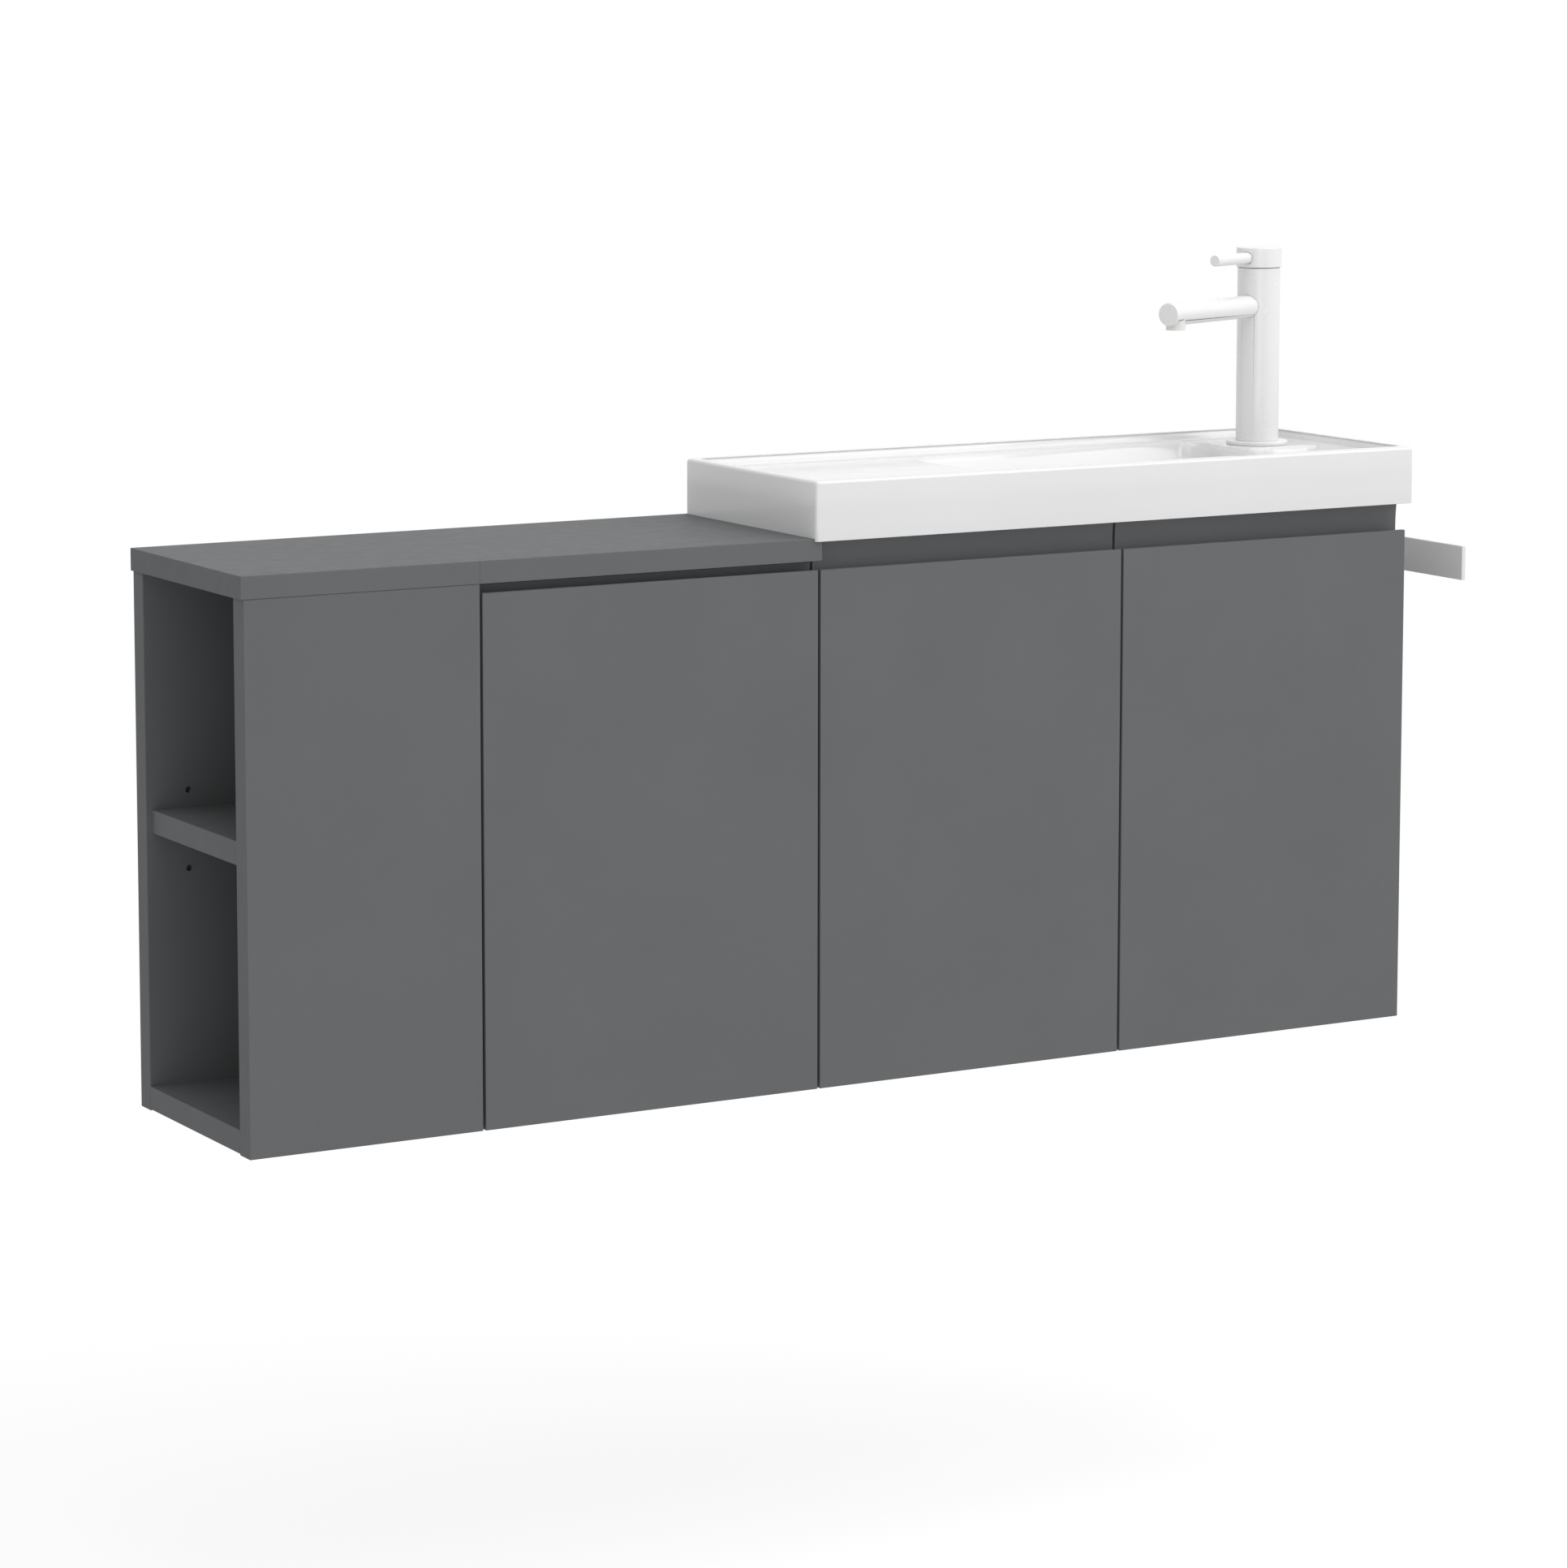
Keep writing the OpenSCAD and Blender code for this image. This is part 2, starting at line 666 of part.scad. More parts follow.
// Hangers and plates at the inner face of each cabinet side: [x, direction inwards]
hang_sides = [for (i = [0:3]) [side_in[i], i % 2 == 0 ? 1 : -1]];
module at_hang_sides() for (s = hang_sides) translate([s[0], 0, 0])
    mirror([s[1] < 0 ? 1 : 0, 0, 0]) children();
module cabinet_hangers() color(steel) at_hang_sides() {
    block([0, top_rail_y - hanger_l, -hanger_low], [hanger_w, top_rail_y, hanger_top]);
    block([hook_in, top_rail_y - cut, hook_z], [hook_in + hook_w, -wall_plate_t - hook_gap, hook_z + hook_t]);
    block([hook_in, -wall_plate_t - hook_gap - hook_tab, hook_z - lip_h + 2 * hook_gap + wall_plate_t],
        [hook_in + hook_w, -wall_plate_t - hook_gap, hook_z + hook_t]);
}
module wall_plates() color(steel) at_hang_sides() difference() {
    union() {
        block([wall_plate_in, -wall_plate_t, -wall_plate_half],
            [wall_plate_in + wall_plate_w, 0, wall_plate_half]);
        block([wall_plate_in, -lip_out, wall_plate_half - wall_plate_t],
            [wall_plate_in + wall_plate_w, 0, wall_plate_half]);
        block([wall_plate_in, -lip_out, wall_plate_half - wall_plate_t],
            [wall_plate_in + wall_plate_w, -lip_out + wall_plate_t, wall_plate_half + lip_h]);
    }
    for (s = [-1, 1]) rod_y([wall_plate_in + wall_plate_w / 2, -wall_plate_t - cut, s * wall_screw_gap / 2],
        wall_screw_d / 2, wall_plate_t + 2 * cut);
}

module cam_discs() color(steel) {
    for (b = bolts) difference() {
        cam_body(b, 0);
        bolt_body(b, fit_gap);
    }
    for (b = bolts_z) difference() {
        cam_z_body(b, 0);
        rod_z([b[0], b[1], worktop_z - cam_back - fit_gap], bolt_d / 2 + fit_gap, cam_back);
    }
}
module cam_bolts() color(steel) {
    for (b = bolts) bolt_body(b, 0);
    for (b = bolts_z) bolt_z_body(b, 0);
}
module wood_dowels() color(beech) {
    for (d = dowels_x) dowel_x_body(d, 0);
    for (d = dowels_y) dowel_y_body(d, 0);
    for (d = dowels_z) dowel_z_body(d, 0);
}
module cabinet_screws() color(steel) for (j = joint_screws) joint_screw(j, 0);

// Door section, drawn with depth to the right and height up
module door_section(top_z) {
    band = lip_t + groove_w;
    hollow_h = top_z - band_z;
    hollow_r = (hollow_h * hollow_h / 4 + band_hollow * band_hollow) / (2 * band_hollow);
    difference() {
        translate([0, base_z]) square([door_t, top_z - base_z]);
        translate([-cut, lip_z]) square([band + cut, top_z - lip_z + cut]);
        translate([lip_t, band_z + groove_w / 2]) square([groove_w, hollow_h]);
        translate([lip_t + groove_w / 2, band_z + groove_w / 2]) circle(d = groove_w);
        intersection() {
            translate([band + band_hollow - hollow_r, band_z + hollow_h / 2]) circle(r = hollow_r, $fn = 360);
            translate([band - cut, band_z + groove_w / 2]) square([cut + band_hollow, hollow_h]);
        }
    }
}
module door(x0, width, edge_x, side, top_z) difference() {
    translate([x0, front_y, 0]) rotate([90, 0, 90]) linear_extrude(width) door_section(top_z);
    at_hinges(edge_x, side) {
        rod_y([cup_edge + cup_d / 2, door_t - cup_depth - fit_gap, 0], cup_d / 2 + fit_gap, cup_depth + cut);
        for (s = [-1, 1]) rod_y([cup_edge + cup_d / 2 + wing_dowel_in, door_t - wing_dowel_l - fit_gap,
            s * wing_dowel_gap / 2], wing_dowel_d / 2 + fit_gap, wing_dowel_l + cut);
    }
}
module middle_door() color(front_grey)
    door(middle_door_x1 - middle_door_w, middle_door_w, middle_door_x1, -1, worktop_z - door_top_gap);
// Its band is cut short beside the end of the worktop
module left_basin_door() color(front_grey) difference() {
    door(left_leaf_x0, leaf_w, left_leaf_x0, 1, apron_z - door_top_gap);
    block([left_leaf_x0 - cut, front_y - cut, worktop_z - door_top_gap],
        [basin_x0 + worktop_over + door_top_gap, door_back_y + cut, apron_z]);
}
module right_basin_door() color(front_grey)
    door(right_leaf_x1 - leaf_w, leaf_w, right_leaf_x1, -1, apron_z - door_top_gap);

module hinge_cups(h) color(steel) at_hinges(h[0], h[1]) {
    cup_u = cup_edge + cup_d / 2;
    difference() {
        union() {
            rod_y([cup_u, door_t - cup_depth, 0], cup_d / 2, cup_depth);
            block([cup_u - wing_w / 2 + wing_dowel_in / 2, door_t, -wing_h / 2],
                [cup_u + wing_w / 2 + wing_dowel_in / 2, door_t + wing_t, wing_h / 2]);
            rod_y([cup_u, door_t, 0], cup_d / 2 + cup_rim, wing_t);
            for (s = [-1, 1]) rod_y([cup_u + wing_dowel_in, door_t - wing_dowel_l, s * wing_dowel_gap / 2],
                wing_dowel_d / 2, wing_dowel_l + wing_t);
        }
        rod_y([cup_u, door_t - cup_depth + cup_wall, 0], cup_d / 2 - cup_wall, cup_depth + wing_t);
    }
}
module middle_hinge_cups() hinge_cups(hinge_list[0]);
module left_hinge_cups() hinge_cups(hinge_list[1]);
module right_hinge_cups() hinge_cups(hinge_list[2]);

module hinge_links(h) color(steel) at_hinges(h[0], h[1]) translate([hinge_pin_u, hinge_pin_v, -link_h / 2])
    rotate([0, 0, link_angle]) difference() {
        union() {
            translate([0, -link_t / 2, 0]) cube([link_l - link_t / 2, link_t, link_h]);
            cylinder(r = nose_r, h = link_h);
            translate([link_l - link_t / 2, 0, 0]) cylinder(d = link_t, h = link_h);
        }
        translate([0, 0, -cut]) cylinder(r = hinge_pin_r + run_gap, h = link_h + 2 * cut);
    }
module middle_hinge_links() hinge_links(hinge_list[0]);
module left_hinge_links() hinge_links(hinge_list[1]);
module right_hinge_links() hinge_links(hinge_list[2]);

// Two cheeks hold the link's pin inside the cup and join the arm behind the door
module hinge_arm() {
    cheek_z = link_h / 2 + cheek_gap;
    difference() {
        union() {
            for (s = [-1, 1]) {
                z0 = s > 0 ? cheek_z : -cheek_z - cheek_t;
                block([hinge_pin_u - nose_r, hinge_pin_v, z0],
                    [hinge_pin_u + nose_r, neck_v + arm_t, z0 + cheek_t]);
                rod_z([hinge_pin_u, hinge_pin_v, z0], nose_r, cheek_t);
            }
            block([arm_u, neck_v + arm_t / 2, -arm_h / 2], [hinge_pin_u + nose_r, arm_end, arm_h / 2]);
        }
        rod_z([hinge_pin_u, hinge_pin_v, -arm_h], hinge_pin_r + fit_gap, 2 * arm_h);
    }
}
module hinge_arms() color(steel) for (h = hinge_list) at_hinges(h[0], h[1]) hinge_arm();
module hinge_pins() color(steel) for (h = hinge_list) at_hinges(h[0], h[1])
    rod_z([hinge_pin_u, hinge_pin_v, -link_h / 2 - cheek_gap - cheek_t], hinge_pin_r,
        link_h + 2 * (cheek_gap + cheek_t));
module plate_screw(inner_u, grow) {
    rod_x([inner_u - plate_screw_l, plate_v, 0], plate_screw_d / 2 + grow, plate_screw_l + arm_u - inner_u);
    rod_x([arm_u - plate_head_t, plate_v, 0], plate_head_d / 2 + grow, plate_head_t + (grow > 0 ? cut : 0));
}
module hinge_plates() color(steel) for (h = hinge_list) at_hinges(h[0], h[1]) difference() {
    block([h[2], plate_v - plate_l / 2, -plate_h / 2], [arm_u, plate_v + plate_l / 2, plate_h / 2]);
    for (s = [-1, 1]) translate([0, 0, s * plate_screws / 2]) plate_screw(h[2], fit_gap);
}
module hinge_plate_screws() color(steel) for (h = hinge_list) at_hinges(h[0], h[1])
    for (s = [-1, 1]) translate([0, 0, s * plate_screws / 2]) plate_screw(h[2], 0);

// Soft stops on the carcass where the free edge of each door closes
module door_buffers() color(plastic_white) {
    middle_x = middle_x0 + board_t / 2;
    left_x = left_leaf_x0 + leaf_w - buffer_in;
    right_x = right_leaf_x1 - leaf_w + buffer_in;
    stops = [[middle_x, floor_z + buffer_low], [middle_x, worktop_z - buffer_high],
        [left_x, floor_mid], [left_x, front_rail_mid], [right_x, floor_mid], [right_x, front_rail_mid]];
    for (p = stops) rod_y([p[0], carcass_y - buffer_t, p[1]], buffer_d / 2, buffer_t);
}

// Quarter bend of the flat bar, from the +x leg round to the +y leg
module bar_bend(at, turn) translate(at) rotate([0, 0, turn]) intersection() {
    difference() {
        cylinder(r = bend_r, h = bar_h);
        translate([0, 0, -cut]) cylinder(r = bend_r - bar_t, h = bar_h + 2 * cut);
    }
    translate([0, 0, -cut]) cube([bend_r + cut, bend_r + cut, bar_h + 2 * cut]);
}
module towel_rail() color(tap_white) difference() {
    union() {
        block([basin_x1, leg_y - foot_l, bar_z0], [basin_x1 + bar_t, leg_y - bend_r, bar_z0 + bar_h]);
        bar_bend([basin_x1 + bend_r, leg_y - bend_r, bar_z0], 90);
        block([basin_x1 + bend_r, leg_y - bar_t, bar_z0], [rail_x + bar_t - bend_r, leg_y, bar_z0 + bar_h]);
        bar_bend([rail_x + bar_t - bend_r, leg_y - bend_r, bar_z0], 0);
        block([rail_x, bar_y0, bar_z0], [rail_x + bar_t, leg_y - bend_r, bar_z0 + bar_h]);
    }
    for (f = foot_screws) rail_screw(f, fit_gap);
}
module rail_screw(f, grow) {
    y = leg_y - f * foot_l;
    z = bar_z0 + bar_h / 2;
    rod_x([basin_x1 + bar_t - rail_screw_l, y, z], rail_screw_d / 2 + grow, rail_screw_l);
    rod_x([basin_x1 + bar_t - rail_head_t, y, z], rail_head_d / 2 + grow, rail_head_t + (grow > 0 ? cut : 0));
}
module towel_rail_screws() color(steel) for (f = foot_screws) rail_screw(f, 0);

// Plan of the basin with round upright corners, grown inwards by inset
module basin_plan(inset) {
    r = max(basin_corner - inset, 0.5);
    x = basin_w / 2 - inset;
    y0 = -basin_d + inset;
    y1 = -inset;
    translate([-x, y0 + r]) square([2 * x, y1 - y0 - r]);
    translate([-x + r, y0]) square([2 * (x - r), r]);
    for (s = [-1, 1]) translate([s * (x - r), y0 + r]) circle(r = r);
}
// Arc of points round a centre
function arc(c, r, from, to, steps) =
    [for (i = [0:steps]) let (a = from + (to - from) * i / steps) [c[0] + r * cos(a), c[1] + r * sin(a)]];
// Plan of the bowl, anticlockwise: straight at the tray and back, swept at the front right
function bowl_plan(t) =
    let (in = slope_side * t, x0 = -basin_w / 2 + tray_w + slope_left * t,
        x1 = basin_w / 2 - bowl_end - 4 * in, y0 = -basin_d + rim_w + front_ledge + in,
        y1 = -rim_w - ledge_w - in, c = bowl_corner * (1 + t), xs = basin_w / 2 - sweep_start,
        r = sweep_r - in, last = asin((x1 - xs) / r))
    concat(arc([x0 + c, y0 + c], c, 180, 270, corner_steps),
        arc([xs, y0 + r], r, 270, 270 + last, sweep_steps),
        [[x1, y1]], arc([x0 + c, y1 - c], c, 90, 180, corner_steps));
// Plan of the pad: round in front of the tap, straight to the back and to the right end
function pad_plan(t) =
    let (r = pad_r + pad_spread * t)
    concat(arc([tap_x, -tap_y], r, 180, 270, pad_steps / 2),
        [[basin_w / 2, -tap_y - r], [basin_w / 2, -rim_w], [tap_x - r + pad_back, -rim_w]]);
// Soft slope: share of the way in for a share of the way down
function soft(g) = g < 0.5 ? 0.72 * g : 0.36 + 0.28 * (g - 0.5) + 2 * pow(g - 0.5, 2);
// A solid through equal rings of points, from the top down
module loft(rings, zs) {
    n = len(rings[0]);
    last = len(rings) - 1;
    polyhedron(points = [for (k = [0:last]) for (p = rings[k]) [p[0], p[1], zs[k]]],
        faces = concat([[for (i = [0:n - 1]) n - 1 - i]], [[for (i = [0:n - 1]) last * n + i]],
            [for (k = [0:last - 1]) for (i = [0:n - 1]) [k * n + i, k * n + (i + 1) % n, (k + 1) * n + i]],
            [for (k = [0:last - 1]) for (i = [0:n - 1])
                [k * n + (i + 1) % n, (k + 1) * n + (i + 1) % n, (k + 1) * n + i]]));
}
bowl_steps = [for (i = [0:bowl_levels]) (1 - cos(180 * i / bowl_levels)) / 2];
module bowl_space() difference() {
    union() {
        loft([for (g = bowl_steps) bowl_plan(soft(g))],
            [for (g = bowl_steps) deck_z - g * (deck_z - bowl_z)]);
        translate([0, 0, deck_z - skin / 2]) linear_extrude(cut) polygon(bowl_plan(0));
    }
    translate([0, 0, -skin]) loft([for (g = bowl_steps) pad_plan(soft(g))],
        [for (g = bowl_steps) deck_z + skin - g * (deck_z - bowl_z + cut)]);
}
module basin() color(ceramic_white) difference() {
    translate([0, 0, apron_z]) linear_extrude(basin_h) basin_plan(0);
    translate([0, 0, deck_z]) linear_extrude(deck_drop + cut) basin_plan(rim_w);
    bowl_space();
    // Seat on the worktop
    block([-basin_w / 2 - cut, front_y - worktop_proud - shelf_gap, apron_z - cut],
        [basin_x0 + worktop_over + shelf_gap, cut, worktop_top]);
    // Hollow underside below the tray and beside the tap
    block([-basin_w / 2 + seat_w, -basin_d + rim_w + front_ledge, apron_z - cut],
        [-basin_w / 2 + tray_w - shell_t, -shell_t - ledge_w, deck_z - shell_t]);
    rod_z([tap_x, -tap_y, apron_z - cut], nut_space_r, deck_z - deck_t - apron_z + cut);
    // Drain and tap holes
    rod_z([drain_x, -drain_y, bowl_z - flange_t], flange_d / 2 + shelf_gap, flange_t + cut);
    rod_z([drain_x, -drain_y, apron_z - cut], waste_d / 2 + drain_hole_gap, floor_t + 2 * cut);
    rod_z([tap_x, -tap_y, deck_z - deck_t - cut], shank_d / 2 + tap_hole_gap, deck_t + 2 * cut);
}

module at_drain(z) translate([drain_x, -drain_y, z]) children();
seal_z = apron_z - seal_t;
waste_z = apron_z - waste_l;
module waste_plug() color(ceramic_white) at_drain(bowl_z) {
    translate([0, 0, hook_gap]) cylinder(d = plug_d, h = plug_t);
    translate([0, 0, hook_gap - stem_l]) cylinder(d = stem_d, h = stem_l + cut);
}
module waste_body() color(steel) at_drain(0) {
    difference() {
        union() {
            translate([0, 0, bowl_z - flange_t]) cylinder(d = flange_d, h = flange_t);
            translate([0, 0, waste_z]) cylinder(d = waste_d, h = bowl_z - waste_z);
        }
        translate([0, 0, waste_z + socket_l]) cylinder(d = waste_d - 2 * waste_wall, h = bowl_z - waste_z);
        translate([0, 0, waste_z - cut]) cylinder(d = pipe_d + 2 * fit_gap, h = socket_l + 2 * cut);
    }
    // Guide of the plug's stem
    translate([0, 0, bowl_z - stem_l / 2 - guide_t]) difference() {
        union() {
            for (a = [0, 90]) rotate(a) translate([-waste_d / 2 + waste_wall / 2, -guide_w / 2, 0])
                cube([waste_d - waste_wall, guide_w, guide_t]);
            cylinder(d = stem_d + 2 * waste_wall, h = guide_t);
        }
        translate([0, 0, -cut]) cylinder(r = stem_d / 2 + run_gap, h = guide_t + 2 * cut);
    }
}
module ring(outer_d, inner_d, h, sides) difference() {
    cylinder(d = outer_d, h = h, $fn = sides);
    translate([0, 0, -cut]) cylinder(d = inner_d, h = h + 2 * cut);
}
module waste_gasket() color(rubber_black) at_drain(seal_z)
    ring(seal_d, waste_d + 2 * fit_gap, seal_t, 64);
module waste_nut() color(steel) at_drain(seal_z - nut_t) ring(waste_nut_d, waste_d + 2 * fit_gap, nut_t, 8);
// Tube from the waste down into the water of the trap
module trap_inlet_tube() color(plastic_white) at_drain(trap_z + dip_gap)
    ring(pipe_d, pipe_d - 2 * pipe_wall, waste_z + socket_l - trap_z - dip_gap, 64);
outlet_y = -drain_y + trap_d / 2 + union_t / 2;
spigot_r = pipe_d / 2 - spigot_step;
module trap_nuts() color(plastic_white) {
    at_drain(trap_top) ring(union_d, pipe_d + 2 * fit_gap, union_t, 64);
    translate([drain_x, outlet_y, outlet_z]) rotate([-90, 0, 0])
        ring(union_d, 2 * (spigot_r + fit_gap), union_t, 64);
}
module trap_body() color(plastic_white) difference() {
    union() {
        at_drain(trap_z + cup_join) cylinder(d = trap_d, h = trap_l - cup_join);
        rod_y([drain_x, -drain_y, outlet_z], pipe_d / 2 + trap_wall, trap_d / 2 + union_t / 2);
    }
    at_drain(trap_z + cup_join - cut)
        cylinder(d = trap_d - 2 * trap_wall, h = trap_l - cup_join + cut - trap_wall);
    at_drain(trap_top - trap_wall - cut) cylinder(d = pipe_d + 2 * fit_gap, h = trap_wall + 2 * cut);
    rod_y([drain_x, -drain_y + pipe_d / 2, outlet_z], spigot_r + fit_gap, trap_d + union_t);
}
module trap_cup() color(plastic_white) at_drain(trap_z) difference() {
    cylinder(d = trap_d + 2 * cup_rib, h = cup_join + cup_rib);
    translate([0, 0, trap_wall]) cylinder(d = trap_d - 2 * trap_wall, h = cup_join);
    translate([0, 0, cup_join]) cylinder(d = trap_d + 2 * fit_gap, h = cup_rib + cut);
}
// Its end inside the nut is a thinner spigot
module trap_outlet_pipe() color(plastic_white) difference() {
    free_y = outlet_y + union_t + spigot_out;
    end_y = outlet_y - union_t / 2;
    union() {
        rod_y([drain_x, free_y, outlet_z], pipe_d / 2, -free_y);
        rod_y([drain_x, end_y, outlet_z], spigot_r, free_y - end_y);
    }
    rod_y([drain_x, outlet_y - union_t, outlet_z], pipe_d / 2 - pipe_wall, -outlet_y + 2 * union_t);
}

module at_tap(h) translate([tap_x, -tap_y, deck_z + h]) children();
// Points away from the axis along the spout, level
module along_spout(from, h) at_tap(h) rotate([0, 0, 180 + spout_turn]) translate([from, 0, 0])
    rotate([0, 90, 0]) children();
module tap_base_ring() color(tap_white) at_tap(0) ring(ring_d, shank_d + 2 * ring_gap, ring_t, 64);
module tap_body() color(tap_white) difference() {
    at_tap(ring_t) cylinder(d = tap_d, h = tap_body_top - ring_t);
    at_tap(tap_body_top - cartridge_h) cylinder(d = tap_d - 2 * cartridge_wall, h = cartridge_h + cut);
    at_tap(shank_up) cylinder(r = waterway_r, h = tap_body_top - shank_up - cartridge_h + cut);
    at_tap(ring_t - cut) cylinder(d = shank_d + 2 * fit_gap, h = shank_up - ring_t + cut);
    along_spout(spout_root, spout_h) cylinder(d = spout_d + 2 * fit_gap, h = tap_d);
    along_spout(0, spout_h) cylinder(d = spout_d - 2 * spout_wall, h = spout_root + cut);
}
module tap_spout() color(tap_white) difference() {
    along_spout(spout_root, spout_h) cylinder(d = spout_d, h = spout_reach - spout_root);
    along_spout(spout_root - cut, spout_h)
        cylinder(d = spout_d - 2 * spout_wall, h = spout_reach - spout_root - spout_wall);
    aerator_body(fit_gap);
}
module aerator_body(grow) at_tap(spout_h - spout_d / 2 - aerator_out)
    rotate([0, 0, 180 + spout_turn]) translate([spout_reach - aerator_back, 0, 0])
        cylinder(d = aerator_d + 2 * grow, h = aerator_out + spout_d / 2 - spout_wall);
module tap_aerator() color(steel) aerator_body(0);
module tap_cartridge() color(plastic_white) difference() {
    at_tap(tap_body_top - cartridge_h)
        cylinder(d = tap_d - 2 * cartridge_wall - 2 * fit_gap, h = cartridge_h);
    at_tap(tap_body_top - spindle_down) cylinder(r = spindle_r + run_gap, h = spindle_down + cut);
}
module tap_spindle() color(steel) at_tap(tap_body_top - spindle_down + fit_gap)
    cylinder(r = spindle_r, h = spindle_down + cap_gap + spindle_up - 2 * fit_gap);
module tap_cap() color(tap_white) difference() {
    at_tap(tap_h - cap_h) cylinder(d = cap_d, h = cap_h);
    at_tap(tap_h - cap_h - cut) cylinder(r = spindle_r + fit_gap, h = spindle_up + cut);
    along_spout(lever_root, tap_h - cap_h + lever_h) cylinder(d = lever_d + 2 * fit_gap, h = cap_d);
}
module tap_lever() color(tap_white) along_spout(lever_root, tap_h - cap_h + lever_h)
    cylinder(d = lever_d, h = lever_reach - lever_root);
module tap_shank() color(steel) difference() {
    at_tap(-shank_l) cylinder(d = shank_d, h = shank_l + shank_up);
    for (s = [-1, 1]) at_tap(-shank_l - cut) translate([s * inlet_off, 0, 0]) {
        cylinder(r = inlet_r, h = inlet_depth + cut);
        cylinder(r = inlet_r / 2, h = shank_l + shank_up + 2 * cut);
    }
}
module tap_nut() color(steel) at_tap(-deck_t - tap_nut_t)
    ring(tap_nut_d, shank_d + 2 * fit_gap, tap_nut_t, 6);

niche_back_panel();
niche_front_panel();
niche_end_panel();
niche_bottom();
niche_shelf();
shelf_pins();
worktop();
middle_left_side();
middle_right_side();
middle_bottom();
middle_top_rail();
middle_lower_rail();
basin_left_side();
basin_right_side();
basin_cabinet_bottom();
basin_front_rail();
basin_top_rail();
basin_lower_rail();
cabinet_hangers();
wall_plates();
cam_discs();
cam_bolts();
wood_dowels();
cabinet_screws();
middle_door();
left_basin_door();
right_basin_door();
middle_hinge_cups();
left_hinge_cups();
right_hinge_cups();
middle_hinge_links();
left_hinge_links();
right_hinge_links();
hinge_arms();
hinge_pins();
hinge_plates();
hinge_plate_screws();
door_buffers();
towel_rail();
towel_rail_screws();
basin();
waste_plug();
waste_body();
waste_gasket();
waste_nut();
trap_inlet_tube();
trap_nuts();
trap_body();
trap_cup();
trap_outlet_pipe();
tap_base_ring();
tap_body();
tap_spout();
tap_aerator();
tap_cartridge();
tap_spindle();
tap_cap();
tap_lever();
tap_shank();
tap_nut();
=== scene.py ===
import bpy, bmesh, math
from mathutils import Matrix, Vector


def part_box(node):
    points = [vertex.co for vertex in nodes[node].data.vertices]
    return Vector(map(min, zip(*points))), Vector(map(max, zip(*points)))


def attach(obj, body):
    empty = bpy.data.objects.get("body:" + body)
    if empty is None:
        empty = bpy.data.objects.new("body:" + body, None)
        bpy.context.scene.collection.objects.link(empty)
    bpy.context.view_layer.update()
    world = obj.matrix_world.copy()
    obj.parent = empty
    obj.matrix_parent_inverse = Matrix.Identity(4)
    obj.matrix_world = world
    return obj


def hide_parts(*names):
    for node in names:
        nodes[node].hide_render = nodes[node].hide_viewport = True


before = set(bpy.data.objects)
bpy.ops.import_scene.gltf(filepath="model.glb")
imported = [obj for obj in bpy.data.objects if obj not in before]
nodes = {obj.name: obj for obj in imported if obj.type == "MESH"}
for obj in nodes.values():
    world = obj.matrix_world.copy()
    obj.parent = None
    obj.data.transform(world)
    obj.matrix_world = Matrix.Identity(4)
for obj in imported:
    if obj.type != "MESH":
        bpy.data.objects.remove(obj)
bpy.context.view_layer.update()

# The boards: 19 mm wood fibre board, sawn, drilled and lacquered matt grey all
# over, also on the edges, which are eased by hand before the lacquer goes on.
# They are joined with dowels and cam bolts.
BOARDS = [
    "niche_back_panel", "niche_front_panel", "niche_end_panel", "niche_bottom", "niche_shelf",
    "worktop", "middle_left_side", "middle_right_side", "middle_bottom", "middle_top_rail",
    "middle_lower_rail", "basin_left_side", "basin_right_side", "basin_cabinet_bottom",
    "basin_front_rail", "basin_top_rail", "basin_lower_rail"]
DOORS = ["middle_door", "left_basin_door", "right_basin_door"]
LACQUER_GREY = (0.122, 0.126, 0.130)


def new_finish(name, metallic=0.0, ior=1.5):
    """A material with its shader, and the place of each point on the piece."""
    material = bpy.data.materials.new(name)
    material.use_nodes = True
    tree = material.node_tree
    shader = tree.nodes["Principled BSDF"]
    shader.inputs["Metallic"].default_value = metallic
    shader.inputs["IOR"].default_value = ior
    place = tree.nodes.new("ShaderNodeTexCoord")
    return material, tree, shader, place.outputs["Object"]


MM_PER_M = 1000.0


def speckle(tree, place, size, detail=2.0, stretch=None):
    """Random variation of one size in millimetres, stretched along an axis if asked."""
    if stretch:
        mapping = tree.nodes.new("ShaderNodeMapping")
        mapping.inputs["Scale"].default_value = stretch
        tree.links.new(place, mapping.inputs["Vector"])
        place = mapping.outputs["Vector"]
    noise = tree.nodes.new("ShaderNodeTexNoise")
    noise.inputs["Scale"].default_value = MM_PER_M / size
    noise.inputs["Detail"].default_value = detail
    tree.links.new(place, noise.inputs["Vector"])
    return noise.outputs["Fac"]


# Nearly all of a speckle lies between these two values
SPECKLE_LOW, SPECKLE_HIGH = 0.3, 0.7


def tint(tree, fac, dark, light, socket):
    """Colour between two close tones."""
    ramp = tree.nodes.new("ShaderNodeValToRGB")
    ramp.color_ramp.elements[0].position = SPECKLE_LOW
    ramp.color_ramp.elements[1].position = SPECKLE_HIGH
    ramp.color_ramp.elements[0].color = (*dark, 1.0)
    ramp.color_ramp.elements[1].color = (*light, 1.0)
    tree.links.new(fac, ramp.inputs["Fac"])
    tree.links.new(ramp.outputs["Color"], socket)


